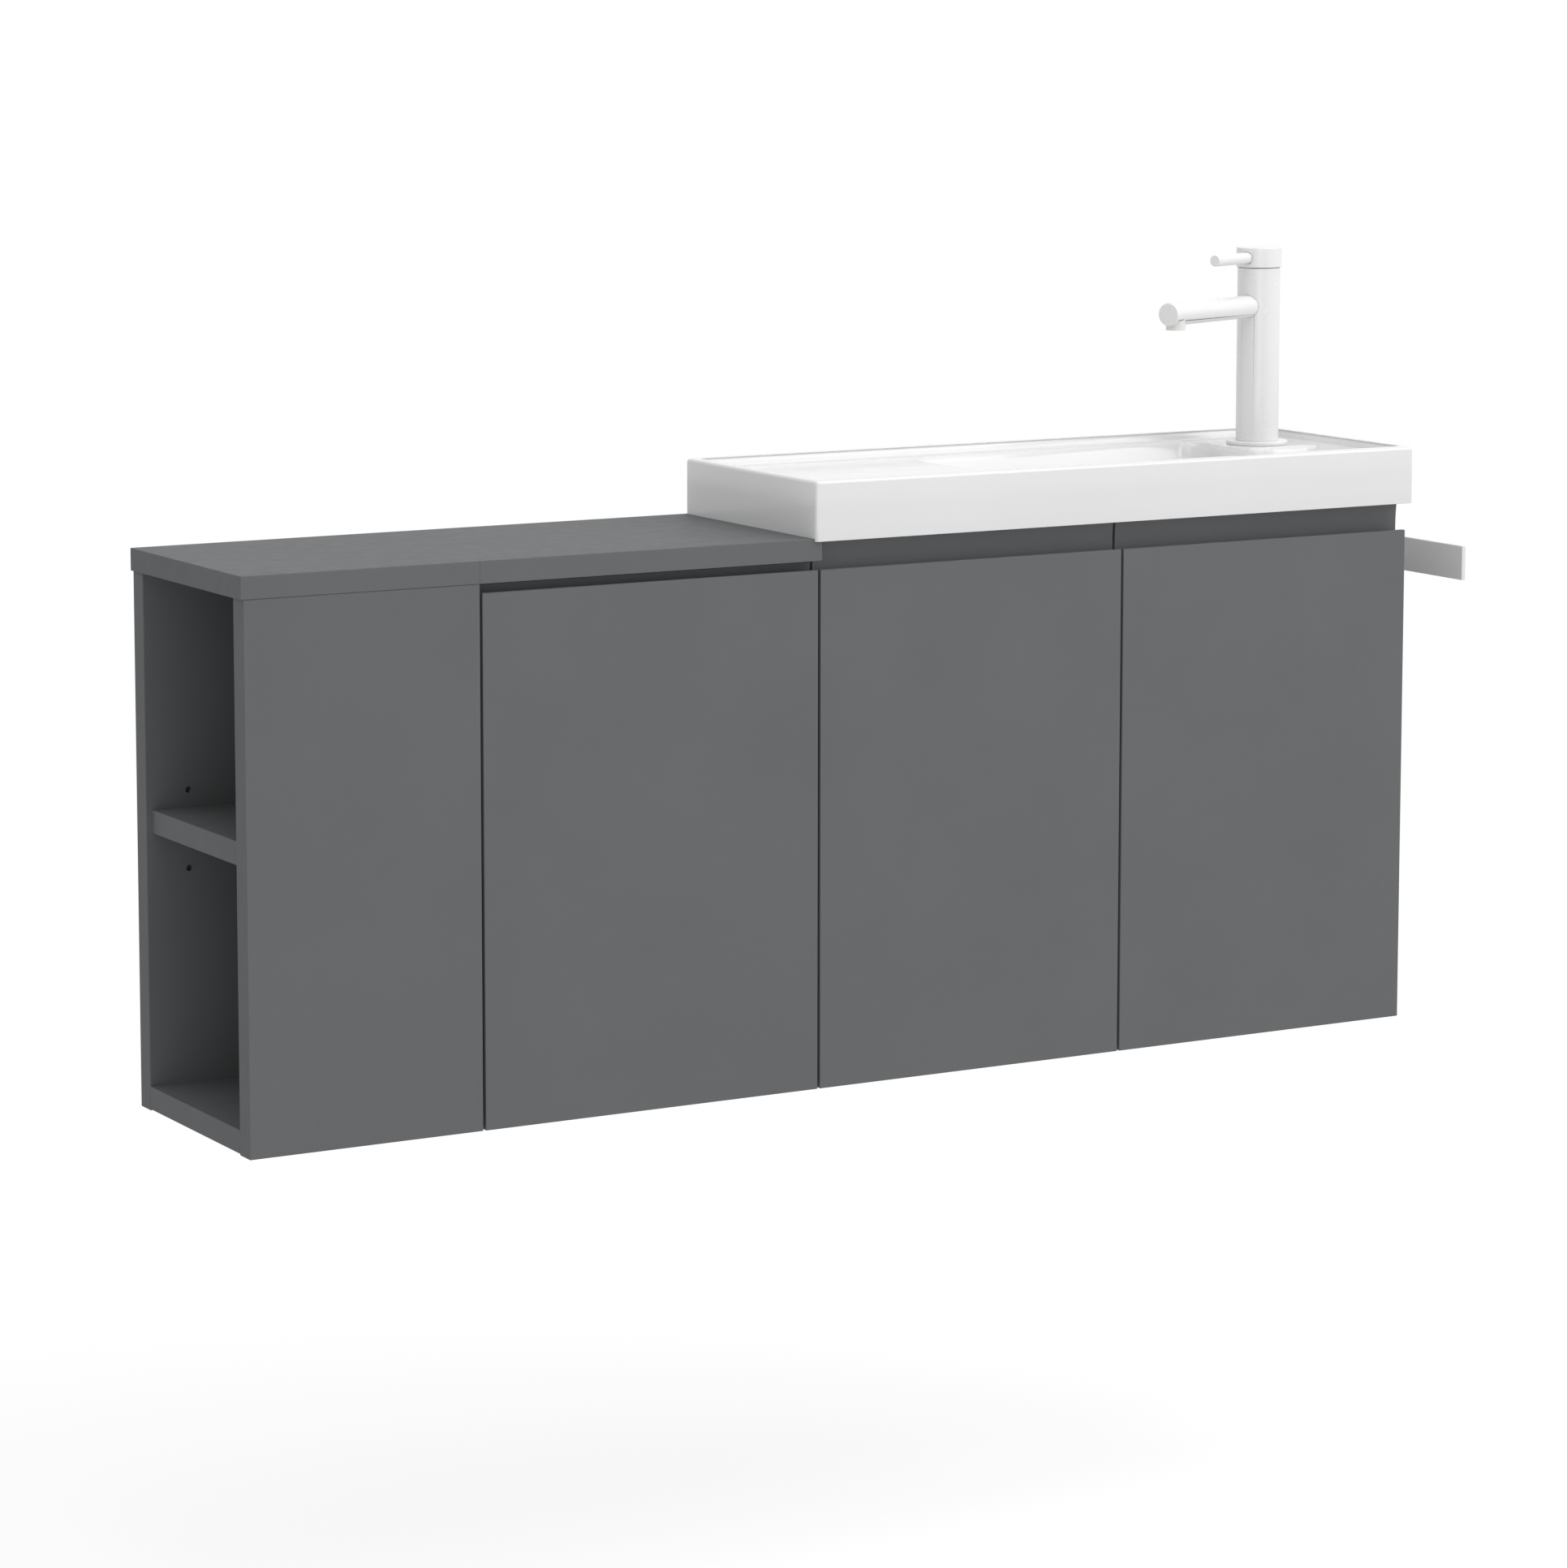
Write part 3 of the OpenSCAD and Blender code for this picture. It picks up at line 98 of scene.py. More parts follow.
def spread(tree, fac, low, high, socket):
    """A value between two limits."""
    span = tree.nodes.new("ShaderNodeMapRange")
    span.inputs["From Min"].default_value = SPECKLE_LOW
    span.inputs["From Max"].default_value = SPECKLE_HIGH
    span.inputs["To Min"].default_value = low
    span.inputs["To Max"].default_value = high
    tree.links.new(fac, span.inputs["Value"])
    tree.links.new(span.outputs["Result"], socket)


def relief(tree, fac, shader, depth, strength=1.0):
    """Raised and sunken parts of a depth in millimetres."""
    bump = tree.nodes.new("ShaderNodeBump")
    bump.inputs["Distance"].default_value = depth / MM_PER_M
    bump.inputs["Strength"].default_value = strength
    tree.links.new(fac, bump.inputs["Height"])
    tree.links.new(bump.outputs["Normal"], shader.inputs["Normal"])


def tones(colour, share):
    """A darker and a lighter tone of a colour, each a share away from it."""
    return [c * (1 - share) for c in colour], [c * (1 + share) for c in colour]


def grey_lacquer():
    """Sprayed matt lacquer, hardly cloudy, with a fine soft grain."""
    material, tree, shader, place = new_finish("grey_lacquer")
    shader.inputs["Specular IOR Level"].default_value = 0.2
    cloud = speckle(tree, place, size=90, detail=3.0)
    tint(tree, cloud, *tones(LACQUER_GREY, share=0.02), shader.inputs["Base Color"])
    spread(tree, speckle(tree, place, size=14), 0.62, 0.7, shader.inputs["Roughness"])
    relief(tree, speckle(tree, place, size=1.4), shader, depth=0.0015, strength=0.2)
    return material


WELD = 1e-6  # corners nearer than this are one corner


def welded(mesh):
    """A mesh opened for work, with the corners of its facets joined."""
    bm = bmesh.new()
    bm.from_mesh(mesh)
    bmesh.ops.remove_doubles(bm, verts=bm.verts, dist=WELD)
    return bm


def as_mesh(bm, name):
    """Closes a worked mesh under a name."""
    mesh = bpy.data.meshes.new(name)
    bm.to_mesh(mesh)
    bm.free()
    return mesh


def put(name, data):
    """A new object in the scene."""
    piece = bpy.data.objects.new(name, data)
    bpy.context.scene.collection.objects.link(piece)
    return piece


def settle(piece):
    """Works the modifiers of a piece into its own mesh."""
    evaluated = piece.evaluated_get(bpy.context.evaluated_depsgraph_get())
    mesh = bpy.data.meshes.new_from_object(evaluated)
    piece.modifiers.clear()
    piece.data = mesh


def dress(piece, material):
    """Gives a piece one material."""
    piece.data.materials.clear()
    piece.data.materials.append(material)


FLAT_TURN = math.radians(0.5)   # faces that turn by less are one face
SMOOTH_TURN = math.radians(30)  # edges that turn by less are shaded smooth
SHARP_TURN = math.radians(40)   # edges that turn by more are eased
EASING_STEPS = 3


def eased(node, body, material, width, shortest=0.012):
    """A merged copy of a part with its long sharp edges eased, shown in place of the part."""
    bm = welded(nodes[node].data)
    bmesh.ops.dissolve_limit(bm, angle_limit=FLAT_TURN, verts=bm.verts, edges=bm.edges)
    weight = bm.edges.layers.float.new("bevel_weight_edge")
    for edge in bm.edges:
        if len(edge.link_faces) == 2:
            turn = edge.calc_face_angle(0.0)
            if turn > SHARP_TURN and edge.calc_length() > shortest:
                edge[weight] = 1.0
            edge.smooth = turn < SMOOTH_TURN
    for face in bm.faces:
        face.smooth = True
    piece = put(node + "_eased", as_mesh(bm, node + "_eased"))
    easing = piece.modifiers.new("easing", "BEVEL")
    easing.limit_method = "WEIGHT"
    easing.width = width
    easing.segments = EASING_STEPS
    easing.use_clamp_overlap = False
    flats = piece.modifiers.new("flats", "WEIGHTED_NORMAL")
    flats.keep_sharp = True
    settle(piece)
    dress(piece, material)
    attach(piece, body)
    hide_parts(node)


def reckon(tree, operation, *values):
    """One step of arithmetic on sockets and numbers."""
    step = tree.nodes.new("ShaderNodeMath")
    step.operation = operation
    for value, socket in zip(values, step.inputs):
        if isinstance(value, bpy.types.NodeSocket):
            tree.links.new(value, socket)
        else:
            socket.default_value = value
    return step.outputs[0]


HAIRLINE_HALF = 0.0003  # half the width of the hairline
HAIRLINE_TONE = 0.72    # its tone, as a share of the lacquer's


def edge_strip_joint(material, x, front_y):
    """A hairline across the front edge of the worktop, where its edge strip is joined."""
    tree = material.node_tree
    shader = tree.nodes["Principled BSDF"]
    coat = shader.inputs["Base Color"].links[0].from_socket
    place = tree.nodes.new("ShaderNodeTexCoord")
    parts = tree.nodes.new("ShaderNodeSeparateXYZ")
    tree.links.new(place.outputs["Object"], parts.inputs[0])
    line = reckon(tree, "COMPARE", parts.outputs["X"], x, HAIRLINE_HALF)
    edge = reckon(tree, "LESS_THAN", parts.outputs["Y"], front_y)
    # In a colour mix, input 0 is the share, 6 and 7 are the colours, and output 2 the result
    mix = tree.nodes.new("ShaderNodeMix")
    mix.data_type = "RGBA"
    mix.inputs[7].default_value = (*[c * HAIRLINE_TONE for c in LACQUER_GREY], 1.0)
    tree.links.new(reckon(tree, "MULTIPLY", line, edge), mix.inputs[0])
    tree.links.new(coat, mix.inputs[6])
    tree.links.new(mix.outputs[2], shader.inputs["Base Color"])


BOARD_EASING, DOOR_EASING = 0.0006, 0.0005
lacquer, worktop_lacquer = grey_lacquer(), grey_lacquer()
edge_strip_joint(worktop_lacquer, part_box("niche_front_panel")[1][0],
                 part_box("worktop")[0][1] + BOARD_EASING)
for board in BOARDS:
    coat = worktop_lacquer if board == "worktop" else lacquer
    eased(board, "carcass", coat, BOARD_EASING)
for door in DOORS:
    eased(door, door, lacquer, DOOR_EASING)


# The dowels: turned beech, 8 mm thick, glued into the boards' edges. They keep the
# boards in line while the cam bolts pull the joints together.
def paint(names, material):
    """Gives the finish to parts whose shape already is right."""
    for name in names:
        dress(nodes[name], material)


def raw_beech():
    """Bare beech with its grain along the rod."""
    material, tree, shader, place = new_finish("raw_beech")
    grain = speckle(tree, place, size=3, detail=4.0, stretch=(0.15, 1.0, 1.0))
    tint(tree, grain, (0.50, 0.33, 0.17), (0.66, 0.47, 0.27), shader.inputs["Base Color"])
    spread(tree, grain, 0.6, 0.8, shader.inputs["Roughness"])
    relief(tree, grain, shader, depth=0.05)
    return material


paint(["wood_dowels"], raw_beech())


# Cams, bolts, hangers, wall plates and shelf pins: steel or zinc, plated bright. They
# are screwed or pressed into the boards, and the cabinets hang on them.
def plated(name, colour, low, high):
    """A metal with a faintly cloudy plating, its roughness between two limits."""
    material, tree, shader, place = new_finish(name, metallic=1.0)
    cloud = speckle(tree, place, size=12, detail=3.0)
    tint(tree, cloud, *tones(colour, share=0.03), shader.inputs["Base Color"])
    spread(tree, speckle(tree, place, size=5), low, high, shader.inputs["Roughness"])
    relief(tree, speckle(tree, place, size=3.0), shader, depth=0.002, strength=0.2)
    return material


PRESSED_EASING, PRESSED_SHORTEST = 0.0003, 0.003
bright_zinc = plated("bright_zinc", (0.62, 0.64, 0.66), 0.3, 0.4)
paint(["cam_discs", "cam_bolts", "shelf_pins", "tap_nut"], bright_zinc)
for part in ("cabinet_hangers", "wall_plates", "hinge_plates"):
    eased(part, "carcass", bright_zinc, PRESSED_EASING, PRESSED_SHORTEST)


# The screws of the hinge plates, of the cabinets' joint and of the towel rail: steel,
# cold formed with a flat head and a cross recess, zinc plated, driven from inside.
def loose_parts(mesh):
    """The corners of each separate body of a mesh."""
    bm = welded(mesh)
    met = set()
    parts = []
    for start in bm.verts:
        if start in met:
            continue
        met.add(start)
        queue, part = [start], []
        while queue:
            vert = queue.pop()
            part.append(vert.co.copy())
            for edge in vert.link_edges:
                other = edge.other_vert(vert)
                if other not in met:
                    met.add(other)
                    queue.append(other)
        parts.append(part)
    bm.free()
    return parts


CREASE_TURN = math.radians(32)


def crease(mesh):
    """Shades a mesh smooth, apart from edges that turn by more than the crease angle."""
    bm = bmesh.new()
    bm.from_mesh(mesh)
    for face in bm.faces:
        face.smooth = True
    for edge in bm.edges:
        if len(edge.link_faces) == 2:
            edge.smooth = edge.calc_face_angle(0.0) < CREASE_TURN
    bm.to_mesh(mesh)
    bm.free()


HEAD_SIDES, SHANK_SIDES = 40, 24
HEAD_TAPER = 0.9    # radius of the head's top, as a share of its full radius
RECESS_SPAN = 1.1   # length of the recess, as a share of the head's radius
BLADE_HEIGHT = 1.2  # of the blade that cuts it, half in the head, as a share of the head's height


def screw_tree():
    """Puts a screw with a cross recess at each point, its head facing along the point's aim."""
    tree = bpy.data.node_groups.new("cross_recess_screws", "GeometryNodeTree")
    face = tree.interface
    face.new_socket("Points", in_out="INPUT", socket_type="NodeSocketGeometry")
    for name in ("Head Radius", "Head Height", "Shank Radius", "Length", "Recess Width"):
        face.new_socket(name, in_out="INPUT", socket_type="NodeSocketFloat")
    face.new_socket("Material", in_out="INPUT", socket_type="NodeSocketMaterial")
    face.new_socket("Geometry", in_out="OUTPUT", socket_type="NodeSocketGeometry")
    given = tree.nodes.new("NodeGroupInput").outputs
    head_radius, head_height = given["Head Radius"], given["Head Height"]
    link = tree.links.new

    def size(x, y, z):
        """One size along each axis."""
        node = tree.nodes.new("ShaderNodeCombineXYZ")
        for part, socket in zip((x, y, z), node.inputs):
            link(part, socket)
        return node.outputs[0]

    def raised(mesh, height):
        """A mesh moved up along the screw."""
        node = tree.nodes.new("GeometryNodeTransform")
        shift = tree.nodes.new("ShaderNodeCombineXYZ")
        link(height, shift.inputs["Z"])
        link(mesh, node.inputs["Geometry"])
        link(shift.outputs[0], node.inputs["Translation"])
        return node.outputs["Geometry"]

    head = tree.nodes.new("GeometryNodeMeshCone")
    head.inputs["Vertices"].default_value = HEAD_SIDES
    link(reckon(tree, "MULTIPLY", head_radius, HEAD_TAPER), head.inputs["Radius Top"])
    link(head_radius, head.inputs["Radius Bottom"])
    link(head_height, head.inputs["Depth"])
    recess = tree.nodes.new("GeometryNodeMeshBoolean")
    recess.operation = "DIFFERENCE"
    link(raised(head.outputs["Mesh"], reckon(tree, "MULTIPLY", head_height, -1.0)),
         recess.inputs["Mesh 1"])
    span = reckon(tree, "MULTIPLY", head_radius, RECESS_SPAN)
    deep = reckon(tree, "MULTIPLY", head_height, BLADE_HEIGHT)
    width = given["Recess Width"]
    for blade_size in (size(span, width, deep), size(width, span, deep)):
        blade = tree.nodes.new("GeometryNodeMeshCube")
        link(blade_size, blade.inputs["Size"])
        link(blade.outputs["Mesh"], recess.inputs["Mesh 2"])
    shank = tree.nodes.new("GeometryNodeMeshCylinder")
    shank.inputs["Vertices"].default_value = SHANK_SIDES
    link(given["Shank Radius"], shank.inputs["Radius"])
    link(reckon(tree, "SUBTRACT", given["Length"], head_height), shank.inputs["Depth"])
    middle = reckon(tree, "ADD", given["Length"], head_height)
    whole = tree.nodes.new("GeometryNodeJoinGeometry")
    link(recess.outputs["Mesh"], whole.inputs["Geometry"])
    link(raised(shank.outputs["Mesh"], reckon(tree, "MULTIPLY", middle, -0.5)),
         whole.inputs["Geometry"])
    aim = tree.nodes.new("GeometryNodeInputNamedAttribute")
    aim.data_type = "FLOAT_VECTOR"
    aim.inputs["Name"].default_value = "aim"
    turn = tree.nodes.new("FunctionNodeAlignRotationToVector")
    link(aim.outputs["Attribute"], turn.inputs["Vector"])
    placed = tree.nodes.new("GeometryNodeInstanceOnPoints")
    link(given["Points"], placed.inputs["Points"])
    link(whole.outputs["Geometry"], placed.inputs["Instance"])
    link(turn.outputs["Rotation"], placed.inputs["Rotation"])
    real = tree.nodes.new("GeometryNodeRealizeInstances")
    link(placed.outputs["Instances"], real.inputs["Geometry"])
    dressed = tree.nodes.new("GeometryNodeSetMaterial")
    link(real.outputs["Geometry"], dressed.inputs["Geometry"])
    link(given["Material"], dressed.inputs["Material"])
    link(dressed.outputs["Geometry"], tree.nodes.new("NodeGroupOutput").inputs["Geometry"])
    return tree


AT_END = 1e-5     # corners this near to an end of the screw belong to it
OVERHANG = 1e-4   # corners this far outside the shank belong to the head


def driven_screws(node, tree, recess_width):
    """Screws in the places and sizes of the part, with their heads and recesses formed."""
    points, aims = [], []
    for corners in loose_parts(nodes[node].data):
        low, high = min(c.x for c in corners), max(c.x for c in corners)
        y = (min(c.y for c in corners) + max(c.y for c in corners)) / 2
        z = (min(c.z for c in corners) + max(c.z for c in corners)) / 2
        reach = {end: max(math.hypot(c.y - y, c.z - z)
                          for c in corners if abs(c.x - end) < AT_END)
                 for end in (low, high)}
        top, tip = (high, low) if reach[high] > reach[low] else (low, high)
        points.append((top, y, z))
        aims += [1.0 if top == high else -1.0, 0.0, 0.0]
        sizes = {"Head Radius": reach[top], "Shank Radius": reach[tip], "Length": high - low,
                 "Head Height": max(abs(c.x - top) for c in corners
                                    if math.hypot(c.y - y, c.z - z) > reach[tip] + OVERHANG)}
    mesh = bpy.data.meshes.new(node + "_places")
    mesh.from_pydata(points, [], [])
    mesh.attributes.new("aim", "FLOAT_VECTOR", "POINT").data.foreach_set("vector", aims)
    piece = put(node + "_formed", mesh)
    build = piece.modifiers.new("screws", "NODES")
    build.node_group = tree
    given = {**sizes, "Recess Width": recess_width, "Material": bright_zinc}
    for socket in tree.interface.items_tree:
        if socket.in_out == "INPUT" and socket.name in given:
            build[socket.identifier] = given[socket.name]
    settle(piece)
    crease(piece.data)
    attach(piece, "carcass")
    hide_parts(node)


cross_recess = screw_tree()
driven_screws("hinge_plate_screws", cross_recess, recess_width=0.0012)
driven_screws("cabinet_screws", cross_recess, recess_width=0.0013)
driven_screws("towel_rail_screws", cross_recess, recess_width=0.0013)

# The concealed hinges: pressed and folded steel, nickel plated. The cups are pressed
# into the doors, and the arms are clipped on plates screwed to the cabinet's sides.
satin_nickel = plated("satin_nickel", (0.62, 0.61, 0.59), 0.28, 0.36)
paint(["middle_hinge_cups", "left_hinge_cups", "right_hinge_cups", "middle_hinge_links",
       "left_hinge_links", "right_hinge_links", "hinge_pins"], satin_nickel)
eased("hinge_arms", "carcass", satin_nickel, PRESSED_EASING,
      PRESSED_SHORTEST)


# The door buffers: small clear discs of soft plastic, moulded and stuck on the
# cabinet's front edges, where the doors close against them.
def moulded(name, colour, low, high):
    """Plastic or rubber with a fine grain, its roughness between two limits."""
    material, tree, shader, place = new_finish(name)
    cloud = speckle(tree, place, size=25, detail=3.0)
    tint(tree, cloud, *tones(colour, share=0.02), shader.inputs["Base Color"])
    spread(tree, speckle(tree, place, size=5), low, high, shader.inputs["Roughness"])
    relief(tree, speckle(tree, place, size=1.2), shader, depth=0.01, strength=0.5)
    return material


paint(["door_buffers"], moulded("clear_buffer", (0.62, 0.62, 0.60), 0.25, 0.4))


# The towel rail: one flat bar, 30 by 4 mm, bent twice and coated white, held on the
# right side by two countersunk screws.
def white_coat(name, white, low, high):
    """White powder coat of one lightness, its roughness between two limits."""
    material, tree, shader, place = new_finish(name)
    cloud = speckle(tree, place, size=60, detail=3.0)
    tint(tree, cloud, *tones((white, white, white), share=0.012), shader.inputs["Base Color"])
    spread(tree, speckle(tree, place, size=9), low, high, shader.inputs["Roughness"])
    relief(tree, speckle(tree, place, size=1.1), shader, depth=0.005, strength=0.5)
    return material


# The rail's coat is the tap's white painted darker, as painted shade on the rail.
rail_coat_painted_shade = white_coat("rail_coat_painted_shade", 0.69, 0.36, 0.44)
eased("towel_rail", "carcass", rail_coat_painted_shade, width=0.0006, shortest=0.001)

# The basin: slip cast sanitary ware, 600 by 220 mm, glazed white, with a rolled rim, a
# flat tray at the left, a bowl that falls softly from it, and a pad for the tap. It
# is bonded on the cabinet and on the end of the worktop.
basin_low, basin_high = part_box("basin")
MID_X, MID_Y = ((basin_high[axis] + basin_low[axis]) / 2 for axis in (0, 1))
HALF_X, HALF_Y = ((basin_high[axis] - basin_low[axis]) / 2 for axis in (0, 1))
# Heights: the rim's top, the deck inside it, the bowl's floor and the basin's foot
DECK_DROP, FLOOR_RISE = 0.008, 0.008
RIM_Z, APRON_Z = basin_high[2], basin_low[2]
DECK_Z = RIM_Z - DECK_DROP
BOWL_Z = APRON_Z + FLOOR_RISE
# Section of the rim: its width, its roundings, and the wall and fillet down to the deck
RIM_W = 0.009
RIM_ROUND = 0.003
RIM_INNER = 0.0016
FOOT_ROUND = 0.0006
WALL_LEAN = 0.0009
FILLET = 0.003
APRON_RINGS = (0.012, 0.026)
# Corners of the outline: their radius, and what it grows by, as a share of the way in
CORNER = 0.003
CORNER_GROWTH = 0.3
# Bowl: where it begins on each side, and how far each slope runs to the full depth
TRAY_END = basin_low[0] + 0.200
SLOPE_LEFT = 0.058
SLOPE_SIDE = 0.022
SLOPE_RIGHT = 0.080
BOWL_RIGHT = basin_high[0] - 0.019
BOWL_BACK = -0.0195
BOWL_FRONT = basin_low[1] + 0.0155
# Sweep of the bowl's front towards the right: where it starts, and its radius
SWEEP_X = basin_high[0] - 0.260
SWEEP_R = 0.360
# Pad: centre of the tap, radius, run of its slope, and how far its back edge goes right
TAP_X = basin_high[0] - 0.057
TAP_Y = -0.0655
PAD_R = 0.034
PAD_SPREAD = 0.020
PAD_BACK = 0.006
# Softness, in shares of a slope: of the bowl's edges, of the corner at the pad, of the
# lip at the deck, and the power by which the slope flattens towards the floor
EDGE_SOFTNESS = 0.10
PAD_CORNER = 1.3
LIP = 0.13
FLOOR_POWER = 2.1
# Shares below the first are deck, and shares are kept between the other two
DECK_SHARE, LEAST_SHARE, MOST_SHARE = -0.3, -1.0, 3.0


def soft_least(values):
    """The least of several shares, rounded where two are alike."""
    return -EDGE_SOFTNESS * math.log(sum(math.exp(-v / EDGE_SOFTNESS) for v in values))


def rounded_least(a, b, r):
    """The least of two shares, with a round corner of a radius where both are small."""
    if a >= r or b >= r:
        return min(a, b)
    return r - math.hypot(r - a, r - b)


def basin_depth(x, y):
    """How far the bowl lies below the deck at a place, from 0 to 1."""
    from_left = (x - TRAY_END) / SLOPE_LEFT
    from_back = (BOWL_BACK - y) / SLOPE_SIDE
    sweep = SWEEP_R - math.hypot(max(x - SWEEP_X, 0.0), y - (BOWL_FRONT + SWEEP_R))
    from_right = (BOWL_RIGHT - x) / SLOPE_RIGHT
    if y < TAP_Y:
        pad = math.hypot(min(x - TAP_X, 0.0), y - TAP_Y) - PAD_R
    else:
        pad = TAP_X - PAD_R + PAD_BACK * (y - TAP_Y) / (-TAP_Y - RIM_W) - x
    back_corner = rounded_least(from_back, pad / PAD_SPREAD, PAD_CORNER)
    shares = [from_left, back_corner, sweep / SLOPE_SIDE, from_right]
    if min(shares) <= DECK_SHARE:
        return 0.0
    t = soft_least([min(max(s, LEAST_SHARE), MOST_SHARE) for s in shares])
    t = min(max(t, 0.0), 1.0)
    lip = t - LIP * (1 - math.exp(-t / LIP))
    lip /= 1 - LIP * (1 - math.exp(-1 / LIP))
    return 1 - (1 - lip) ** FLOOR_POWER


# Places of the first lines of the bowl's net from its edge, and the pitch further in
EDGE_LINES = [0.0, 0.0006, 0.0013, 0.0022, 0.0033, 0.0047, 0.0064, 0.0085, 0.0108]
NET_PITCH = 0.0018


def graded(half):
    """Places from -half to half, close together near the ends."""
    inner = half - EDGE_LINES[-1]
    count = max(2, round(2 * inner / NET_PITCH))
    middle = [-inner + 2 * inner * i / count for i in range(count + 1)]
    edge = EDGE_LINES[:-1]
    return [-half + s for s in edge] + middle + [half - s for s in reversed(edge)]


def arc(*degrees):
    """Cosine and sine of each angle on a rounding."""
    return [(math.cos(math.radians(a)), math.sin(math.radians(a))) for a in degrees]


def basin_rings():
    """Distance from the outline and height, from the foot up, over the rim, down to the deck."""
    wall = RIM_W + WALL_LEAN
    rings = [(FOOT_ROUND * (1 - c), APRON_Z + FOOT_ROUND * (1 - s)) for c, s in arc(90, 60, 30, 0)]
    rings += [(0.0, APRON_Z + height) for height in APRON_RINGS]
    rings += [(0.0, RIM_Z - RIM_ROUND)]
    rings += [(RIM_ROUND * (1 - c), RIM_Z - RIM_ROUND * (1 - s))
              for c, s in arc(15, 30, 45, 60, 75, 90)]
    rings += [(RIM_W - RIM_INNER, RIM_Z)]
    rings += [(RIM_W - RIM_INNER * c, RIM_Z - RIM_INNER * (1 - s)) for c, s in arc(60, 30, 0)]
    rings += [(wall + FILLET * (1 - c), DECK_Z + FILLET * (1 - s))
              for c, s in arc(0, 20, 40, 60, 78)]
    return rings


NO_LENGTH = 1e-9


def cast_basin():
    """The closed skin of the basin: a net over deck and bowl, and rings over rim and apron."""
    deck_in = RIM_W + WALL_LEAN + FILLET
    xs = graded(HALF_X - deck_in)
    ys = graded(HALF_Y - deck_in)
    bm = bmesh.new()
    grid = [[bm.verts.new((MID_X + x, MID_Y + y,
                           DECK_Z - (DECK_Z - BOWL_Z) * basin_depth(MID_X + x, MID_Y + y)))
             for y in ys] for x in xs]
    for i in range(len(xs) - 1):
        for j in range(len(ys) - 1):
            bm.faces.new((grid[i][j], grid[i + 1][j], grid[i + 1][j + 1], grid[i][j + 1]))
    last_x, last_y = len(xs) - 1, len(ys) - 1
    border = [(i, 0) for i in range(last_x)] + [(last_x, j) for j in range(last_y)]
    border += [(i, last_y) for i in range(last_x, 0, -1)] + [(0, j) for j in range(last_y, 0, -1)]
    inner = [grid[i][j] for i, j in border]
    for inset, height in reversed(basin_rings()):
        half_x, half_y = HALF_X - inset, HALF_Y - inset
        corner = CORNER + inset * CORNER_GROWTH
        outer = []
        for i, j in border:
            x = xs[i] * half_x / (HALF_X - deck_in)
            y = ys[j] * half_y / (HALF_Y - deck_in)
            core_x = min(max(x, corner - half_x), half_x - corner)
            core_y = min(max(y, corner - half_y), half_y - corner)
            off_x, off_y = x - core_x, y - core_y
            away = math.hypot(off_x, off_y)
            if abs(off_x) > NO_LENGTH and abs(off_y) > NO_LENGTH:
                x, y = core_x + off_x * corner / away, core_y + off_y * corner / away
            outer.append(bm.verts.new((MID_X + x, MID_Y + y, height)))
        for k in range(len(border)):
            n = (k + 1) % len(border)
            bm.faces.new((inner[k], outer[k], outer[n], inner[n]))
        inner = outer
    bm.faces.new(list(reversed(inner)))
    bmesh.ops.recalc_face_normals(bm, faces=bm.faces)
    return bm


def block(bm, low, high):
    """Adds a box between two corners."""
    made = bmesh.ops.create_cube(bm, size=1.0)
    for v in made["verts"]:
        v.co = [low[a] + (v.co[a] + 0.5) * (high[a] - low[a]) for a in range(3)]


BORE_SIDES = 64


def upright(bm, x, y, z0, z1, r):
    """Adds an upright cylinder between two heights."""
    made = bmesh.ops.create_cone(bm, cap_ends=True, segments=BORE_SIDES,
                                 radius1=r, radius2=r, depth=z1 - z0)
    for v in made["verts"]:
        v.co += Vector((x, y, (z0 + z1) / 2))


def carve(piece, cutters):
    """Cuts closed shapes out of a piece, one after another."""
    for cutter in cutters:
        tool = put("cutter", as_mesh(cutter, "cutter"))
        cut = piece.modifiers.new("cut", "BOOLEAN")
        cut.operation = "DIFFERENCE"
        cut.solver = "EXACT"
        cut.object = tool
        settle(piece)
        bpy.data.objects.remove(tool)


def white_glaze():
    """Fired white glaze, even and glossy, with a second clear layer."""
    material, tree, shader, place = new_finish("white_glaze", ior=1.52)
    tint(tree, speckle(tree, place, size=120), (0.705, 0.705, 0.705), (0.72, 0.72, 0.72),
         shader.inputs["Base Color"])
    spread(tree, speckle(tree, place, size=40), 0.14, 0.2, shader.inputs["Roughness"])
    relief(tree, speckle(tree, place, size=90, detail=0.0), shader, depth=0.003, strength=0.05)
    shader.inputs["Coat Weight"].default_value = 0.5
    shader.inputs["Coat Roughness"].default_value = 0.15
    return material


glaze = white_glaze()
basin = put("glazed_basin", as_mesh(cast_basin(), "glazed_basin"))
worktop_low, worktop_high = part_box("worktop")
plug_low, plug_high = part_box("waste_plug")
drain_x, drain_y = ((plug_low[axis] + plug_high[axis]) / 2 for axis in (0, 1))
CLEAR = 0.01             # how far a cut runs on past the basin's skin
SEAT_GAP = 0.0003        # air between the basin and the worktop's end
HOLLOW_LEFT, HOLLOW_RIGHT = 0.025, 0.191  # hollow under the tray, from the basin's left end
TRAY_THICK = 0.009       # ware left above that hollow
PAD_HOLLOW_R = 0.030     # hollow under the pad, for the tap's nut
PAD_THICK = 0.012        # ware left above it
FLANGE_R, FLANGE_DEEP, FLANGE_CLEAR = 0.0303, 0.003, 0.02  # sinking for the waste's flange
WASTE_R, TAP_HOLE_R = 0.023, 0.0171
seat, hollow, flange_sinking, waste_hole, tap_hole = (bmesh.new() for _ in range(5))
block(seat, (basin_low[0] - CLEAR, worktop_low[1] - SEAT_GAP, APRON_Z - CLEAR),
      (worktop_high[0] + SEAT_GAP, CLEAR, worktop_high[2]))
